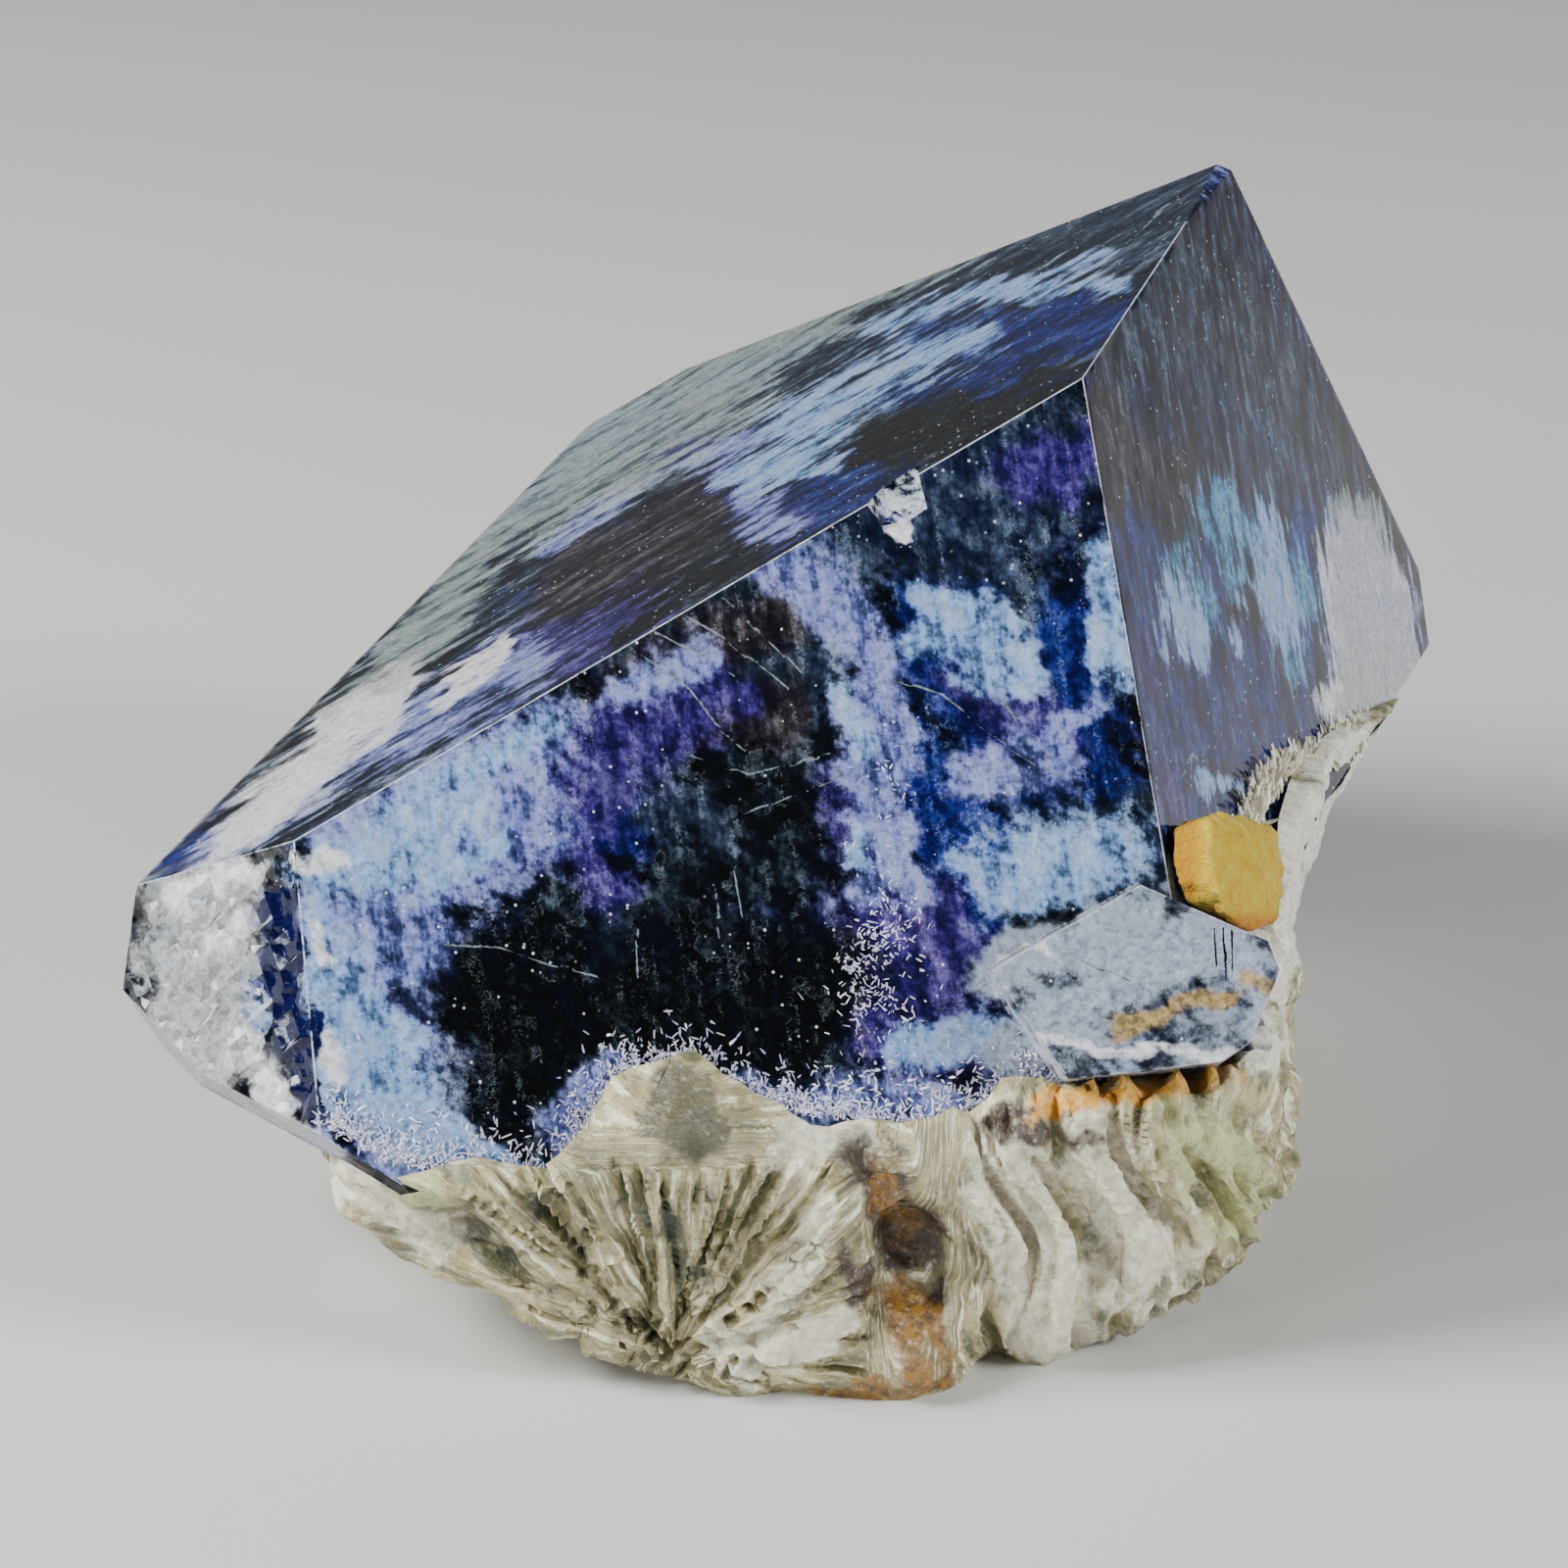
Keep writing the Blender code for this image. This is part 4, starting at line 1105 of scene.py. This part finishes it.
def make_matrix():
    """The lump of torn mica."""
    bm = cad_mesh("mica_matrix")
    bm.verts.ensure_lookup_table()
    points = vert_positions(bm)
    outer = (crystal_distance(points) > 0.42) & (points[:, 2] > 0.05)
    open_edges = [
        edge for edge in bm.edges
        if (outer[edge.verts[0].index] or outer[edge.verts[1].index]) and edge.calc_length() > 0.25
    ]
    split_long(bm, open_edges, 2)
    points = vert_positions(bm)
    outer = (crystal_distance(points) > 0.45) & (points[:, 2] > 0.3)
    bm.verts.ensure_lookup_table()
    relax(bm, [bm.verts[i] for i in np.flatnonzero(outer)], 2)
    split_long(bm, [e for e in bm.edges if e.calc_length() > 0.34 and outer[e.verts[0].index]], 1)
    points, normals, faces = finish_mesh(bm)
    relief = mica_relief(points, normals)
    placed = points + normals * relief[:, None]
    placed = np.clip(placed, *(drawn(np.array(corner)) for corner in cad_box))
    obj = new_piece("mica_lump", in_metres(placed), faces, "mica", "mica_matrix")
    grain_line(obj, points)
    store_layers(obj, "mica", mica_layers(points, relief), "POINT")
    finish_look(obj, mica_material(), MICA_CREASE)


def grain_line(obj, points):
    """Coordinates along and across the torn sheets, for streaks in the material."""
    across, up = across_up(points)
    turn, reach, lean, tilt = torn_lines(points)
    fan = np.column_stack((turn * 0.34, reach * 0.22, points[:, 1] * 0.1))
    ribs = np.column_stack((lean * 2.4, up * 0.30, points[:, 1] * 0.6))
    sheets = np.column_stack((points[:, 0] * 0.4, points[:, 1] * 0.4, tilt * 3.2))
    front = ramp(4.0, -2.0, points[:, 1])
    in_fan = (front * ramp(3.8, 2.6, across) * ramp(-11.6, -13.0, up))[:, None]
    in_ribs = (ramp(4.4, 6.4, across) * ramp(12.0, 4.0, points[:, 1]))[:, None]
    mixed = sheets * (1.0 - in_fan) * (1.0 - in_ribs) + fan * in_fan + ribs * in_ribs
    layer = obj.data.attributes.new("torn", "FLOAT_VECTOR", "POINT")
    layer.data.foreach_set("vector", mixed.astype(np.float32).reshape(-1))


MICA_PAINT = {
    # Dark green of the painted shade in creases and recesses
    "crease_shade": (0.060, 0.072, 0.040), "cream": (0.84, 0.80, 0.64), "olive": (0.13, 0.12, 0.065),
    "brown": (0.060, 0.032, 0.012), "amber": (0.32, 0.155, 0.014), "seam": (0.74, 0.38, 0.040),
    "lime": (0.56, 0.58, 0.28), "crust": (0.92, 0.88, 0.76),
}


def mica_material():
    """Torn silver-green mica with its stains, painted sheen and glints, and painted shade in its
    creases.
    """
    tree = Tree("silver_green_mica")
    along = tree.millimetres()
    blotch = tree.noise(along, 0.55, 4.0, 0.68)
    grain = tree.noise(along, 2.6, 4.0, 0.72)
    torn = tree.node("ShaderNodeAttribute", attribute_name="torn").outputs["Vector"]
    strands = tree.noise(torn, 1.0, 4.0, 0.70)
    colour = tree.mix_colour(
        tree.ramp(blotch, 0.36, 0.66), (0.24, 0.220, 0.10), (0.56, 0.50, 0.27)
    )
    # Bright and dark streaks along the torn sheets: partly the sheets' own grain, partly painted
    # sheen on them and painted shade in the creases between them
    for share, paint in (
        (tree.ramp(strands, 0.52, 0.64), (0.90, 0.85, 0.64)),
        (tree.ramp(strands, 0.49, 0.37, 0.0, 0.88), (0.085, 0.095, 0.045)),
        (tree.ramp(grain, 0.46, 0.30, 0.0, 0.55), (0.17, 0.17, 0.10)),
    ):
        colour = tree.mix_colour(share, colour, paint)
    for name, value in tree.layers("mica", MICA_LAYERS).items():
        shaken = tree.math("MULTIPLY_ADD", tree.math("SUBTRACT", blotch, 0.5), 2.6, value)
        shaken = tree.math("MULTIPLY", shaken, tree.ramp(value, 0.0, 0.15))
        paint = MICA_PAINT[name]
        depth = 0.30 if name in ("brown", "amber") else 0.66
        varied = tree.mix_colour(
            tree.ramp(grain, 0.35, 0.62), tuple(c * depth for c in paint), paint
        )
        colour = tree.mix_colour(tree.ramp(shaken, 0.28, 0.95), colour, varied)
    # Painted glints: small bright flecks in cells over the mica
    painted_glint = tree.ramp(tree.cells(along, 2.2).outputs["Distance"], 0.30, 0.05)
    colour = tree.mix_colour(tree.math("MULTIPLY", painted_glint, 0.25), colour, (0.86, 0.85, 0.78))
    height = tree.math("ADD", tree.math("MULTIPLY", strands, 0.7), grain)
    tree.surface(
        Base_Color=colour, Roughness=tree.ramp(grain, 0.35, 0.70, 0.62, 0.26),
        Normal=tree.bump(height, 0.8, 0.00016), IOR=1.58, Specular_IOR_Level=0.75,
    )
    return tree.mat


# Outline of a flake from its foot to its point: along, sideways
FLAKE_OUTLINE = ((0.0, -0.5), (0.55, -0.5), (1.0, -0.08), (1.0, 0.08), (0.5, 0.5), (0.0, 0.5))


def blades(rng, bases, axes, lengths, widths, thick):
    """Thin pointed closed plates, each from a base point along its own axis."""
    verts = []
    faces = []
    count = len(FLAKE_OUTLINE)
    for base, axis, length, width in zip(bases, axes, lengths, widths):
        axis = axis / np.linalg.norm(axis)
        side = np.cross(axis, rng.normal(size=3))
        side /= np.linalg.norm(side)
        lift = np.cross(axis, side)
        first = len(verts)
        for level in (-0.5, 0.5):
            for s, t in FLAKE_OUTLINE:
                verts.append(base + axis * s * length + side * t * width + lift * level * thick)
        faces.append([first + k for k in range(count)])
        faces.append([first + count + k for k in reversed(range(count))])
        for k in range(count):
            j = (k + 1) % count
            faces.append([first + k, first + count + k, first + count + j, first + j])
    return np.array(verts), faces


def along_polyline(rng, nodes, count):
    """Places at random along a line in the front view."""
    nodes = np.array(nodes)
    steps = np.linalg.norm(np.diff(nodes, axis=0), axis=1)
    marks = np.concatenate(([0.0], np.cumsum(steps)))
    places = rng.uniform(0.0, marks[-1], count)
    return np.column_stack([np.interp(places, marks, nodes[:, k]) for k in (0, 1)])


def on_face(spots, plane):
    """Points of a crystal face that show at the places given, and its direction."""
    normal = Vector(plane[1])
    origin = Vector(CRYSTAL_CENTRE) + normal * plane[2]
    return np.array([tuple(on_plane(a, b, origin, normal)) for a, b in spots]), np.array(normal)


def flakes(name, rng, bases, axes, lengths, widths, thick):
    """A piece made of many blades, with one tint value a blade."""
    verts, faces = blades(rng, bases, axes, lengths, widths, thick)
    obj = new_piece(name, in_metres(verts), faces, "mica")
    keep_tint(obj, np.repeat(rng.uniform(0.0, 1.0, len(bases)), 2 * len(FLAKE_OUTLINE)))
    return obj


def make_fringe():
    """Lilac-white flakes along the line where the mica meets the front face."""
    rng = np.random.default_rng(FLAKE_SEED)
    near = along_polyline(rng, CONTACT, 4200)
    near[:, 1] += rng.exponential(0.42, len(near)) - 0.15
    near[:, 0] += rng.normal(0.0, 0.16, len(near))
    spread = rng.normal(0.0, 1.0, (1000, 2))
    left = np.column_stack((
        -6.3 + 0.80 * spread[:, 0], -11.9 + 0.95 * spread[:, 1] + 0.45 * spread[:, 0]
    ))
    left = left[(left[:, 1] > -14.2) & (left[:, 0] < -4.9)]
    crumbs = along_polyline(rng, ((8.0, -9.3), (11.5, -9.0), (15.2, -8.8)), 260)
    crumbs += rng.normal(0.0, 0.13, crumbs.shape)
    round_it = rng.uniform(0.6, 5.6, 260)
    reach = rng.normal(1.0, 0.34, 260)
    ring = np.column_stack((
        3.2 + 0.95 * reach * np.cos(round_it), -6.5 + 1.3 * reach * np.sin(round_it)
    ))
    column = np.column_stack((rng.normal(3.6, 0.75, 260), rng.uniform(-10.5, 2.5, 260)))
    spots = np.vstack((near, left, crumbs, ring, column))
    bases, normal = on_face(spots, FRONT_FACE)
    lying = np.arange(len(spots)) >= len(near) + len(left) + len(crumbs)
    lean = rng.normal(size=bases.shape)
    lean -= np.outer(lean @ normal, normal)
    stand = np.where(lying, 0.12, rng.uniform(0.2, 1.1, len(bases)))
    axes = lean / np.linalg.norm(lean, axis=1, keepdims=True) + np.outer(stand, normal)
    axes[:, 2] += np.where(lying, 0.0, 0.35)
    bases -= normal * 0.05
    lengths = rng.uniform(0.12, 0.42, len(bases)) * np.where(lying, 0.6, 1.0)
    widths = rng.uniform(0.03, 0.10, len(bases))
    obj = flakes("fringe_flakes", rng, bases, axes, lengths, widths, 0.03)
    finish_look(obj, flake_material("lilac_flakes", (0.36, 0.36, 0.62), (0.90, 0.90, 0.97)))


def make_crust():
    """Cream spikes on the crust that edges the right face."""
    rng = np.random.default_rng(FLAKE_SEED + 1)
    spots = along_polyline(rng, RIGHT_RIM, 760)
    spots += rng.normal(0.0, 0.18, spots.shape) - (0.0, 0.2)
    bases, normal = on_face(spots, RIGHT_FACE)
    axes = np.outer(np.ones(len(bases)), (-0.45, -0.25, 0.85)) + rng.normal(0.0, 0.24, bases.shape)
    axes += normal * 0.25
    lengths = rng.uniform(0.5, 1.45, len(bases))
    widths = rng.uniform(0.12, 0.24, len(bases))
    obj = flakes("crust_spikes", rng, bases, axes, lengths, widths, 0.10)
    finish_look(obj, flake_material("cream_spikes", (0.60, 0.56, 0.42), (0.92, 0.89, 0.78)))


def keep_tint(obj, values):
    """One value a vertex that its material mixes by."""
    layer = obj.data.attributes.new("tint", "FLOAT", "POINT")
    layer.data.foreach_set("value", values.astype(np.float32))


def flake_material(name, low, high):
    tree = Tree(name)
    tint = tree.node("ShaderNodeAttribute", attribute_name="tint").outputs["Fac"]
    cloud = tree.noise(tree.millimetres(), 1.4, 4.0, 0.6)
    both = tree.math("ADD", tree.math("MULTIPLY", tint, 0.6), tree.math("MULTIPLY", cloud, 0.5))
    tree.surface(
        Base_Color=tree.mix_colour(tree.ramp(both, 0.2, 0.8), low, high),
        Roughness=tree.ramp(cloud, 0.3, 0.7, 0.45, 0.2),
    )
    return tree.mat


def make_grain():
    """The yellow grain at the right foot of the crystal."""
    bm = cad_mesh("yellow_grain")
    split_long(bm, bm.edges[:], 11)
    relax(bm, bm.verts[:], 8)
    points, normals, faces = finish_mesh(bm)
    height = 0.26 * np.abs(fractal(points / 0.75, 3, 83)) + 0.09 * fractal(points / 0.26, 2, 89)
    placed = points + normals * height[:, None]
    obj = new_piece(
        "yellow_crystal_grain", in_metres(placed), faces, "yellow_mineral", "yellow_grain"
    )
    across, up = across_up(points)
    keep_tint(obj, np.maximum(ramp(-3.8, -5.2, up), 0.6 * ramp(14.7, 14.0, across)))
    obj.data.shade_smooth()
    finish_look(obj, grain_material())


def grain_material():
    tree = Tree("yellow_mineral")
    along = tree.millimetres()
    cloud = tree.noise(along, 1.7, 6.0, 0.72, 0.4)
    grit = tree.noise(along, 4.5, 4.0, 0.7)
    tint = tree.node("ShaderNodeAttribute", attribute_name="tint").outputs["Fac"]
    shaken = tree.math("MULTIPLY_ADD", tree.math("SUBTRACT", cloud, 0.5), 1.2, tint)
    colour = tree.mix_colour(
        tree.ramp(cloud, 0.35, 0.68), (0.82, 0.50, 0.015), (0.92, 0.72, 0.070)
    )
    colour = tree.mix_colour(tree.ramp(shaken, 0.25, 0.85), colour, (0.74, 0.28, 0.008))
    colour = tree.mix_colour(tree.ramp(grit, 0.62, 0.76, 0.0, 0.6), colour, (0.97, 0.86, 0.40))
    tree.surface(
        Base_Color=colour, Roughness=tree.ramp(grit, 0.3, 0.7, 0.55, 0.30),
        Normal=tree.bump(tree.math("ADD", cloud, grit), 1.0, 0.00045),
        Subsurface_Weight=0.25, Subsurface_Radius=(0.0012, 0.0007, 0.0003),
    )
    return tree.mat


def make_floor():
    """A plain pale floor, not part of the object."""
    bm = bmesh.new()
    bmesh.ops.create_grid(bm, x_segments=24, y_segments=24, size=1.6)
    mesh = bpy.data.meshes.new("floor")
    bm.to_mesh(mesh)
    bm.free()
    floor = bpy.data.objects.new("floor", mesh)
    bpy.context.scene.collection.objects.link(floor)
    tree = Tree("pale_floor")
    where = tree.node("ShaderNodeTexCoord").outputs["Object"]
    paint = tree.mix_colour(tree.noise(where, 9.0, 3.0), (0.58, 0.58, 0.58), (0.62, 0.62, 0.615))
    tree.surface(Base_Color=paint, Roughness=0.7)
    mesh.materials.append(tree.mat)


def soft_light(name, place, width, height, power, colour):
    data = bpy.data.lights.new(name, "AREA")
    data.shape = "RECTANGLE"
    data.size = width
    data.size_y = height
    data.energy = power
    data.color = colour
    light = bpy.data.objects.new(name, data)
    bpy.context.scene.collection.objects.link(light)
    light.location = place
    light.rotation_euler = (LIT_POINT - Vector(place)).to_track_quat("-Z", "Y").to_euler()


# Each light: name, place in m, width, height, power in W, colour
LIGHTS = (
    ("key", (-0.27, -0.06, 0.24), 0.15, 0.14, 2.2, (1.0, 0.99, 0.97)),
    ("low", (-0.36, -0.34, 0.12), 0.12, 0.08, 1.1, (1.0, 0.98, 0.95)),
    ("side", (0.34, -0.16, 0.20), 0.12, 0.10, 1.7, (1.0, 1.0, 1.0)),
)
LIT_POINT = Vector((0.0, 0.0, 0.015))


def make_light():
    for row in LIGHTS:
        soft_light(*row)
    world = bpy.data.worlds.new("studio")
    world.use_nodes = True
    world.node_tree.nodes["Background"].inputs["Color"].default_value = (0.92, 0.95, 1.0, 1.0)
    world.node_tree.nodes["Background"].inputs["Strength"].default_value = 0.13
    bpy.context.scene.world = world


def make_camera():
    data = bpy.data.cameras.new("camera")
    data.lens = 112.5
    data.sensor_width = 36.0
    data.clip_start = 0.005
    camera = bpy.data.objects.new("camera", data)
    bpy.context.scene.collection.objects.link(camera)
    camera.location = in_metres((0.0, -157.6213, 82.6331))
    camera.rotation_euler = (math.radians(68.0), 0.0, 0.0)
    bpy.context.scene.camera = camera


make_camera()
make_crystal()
make_matrix()
make_grain()
make_fringe()
make_crust()
make_floor()
make_light()
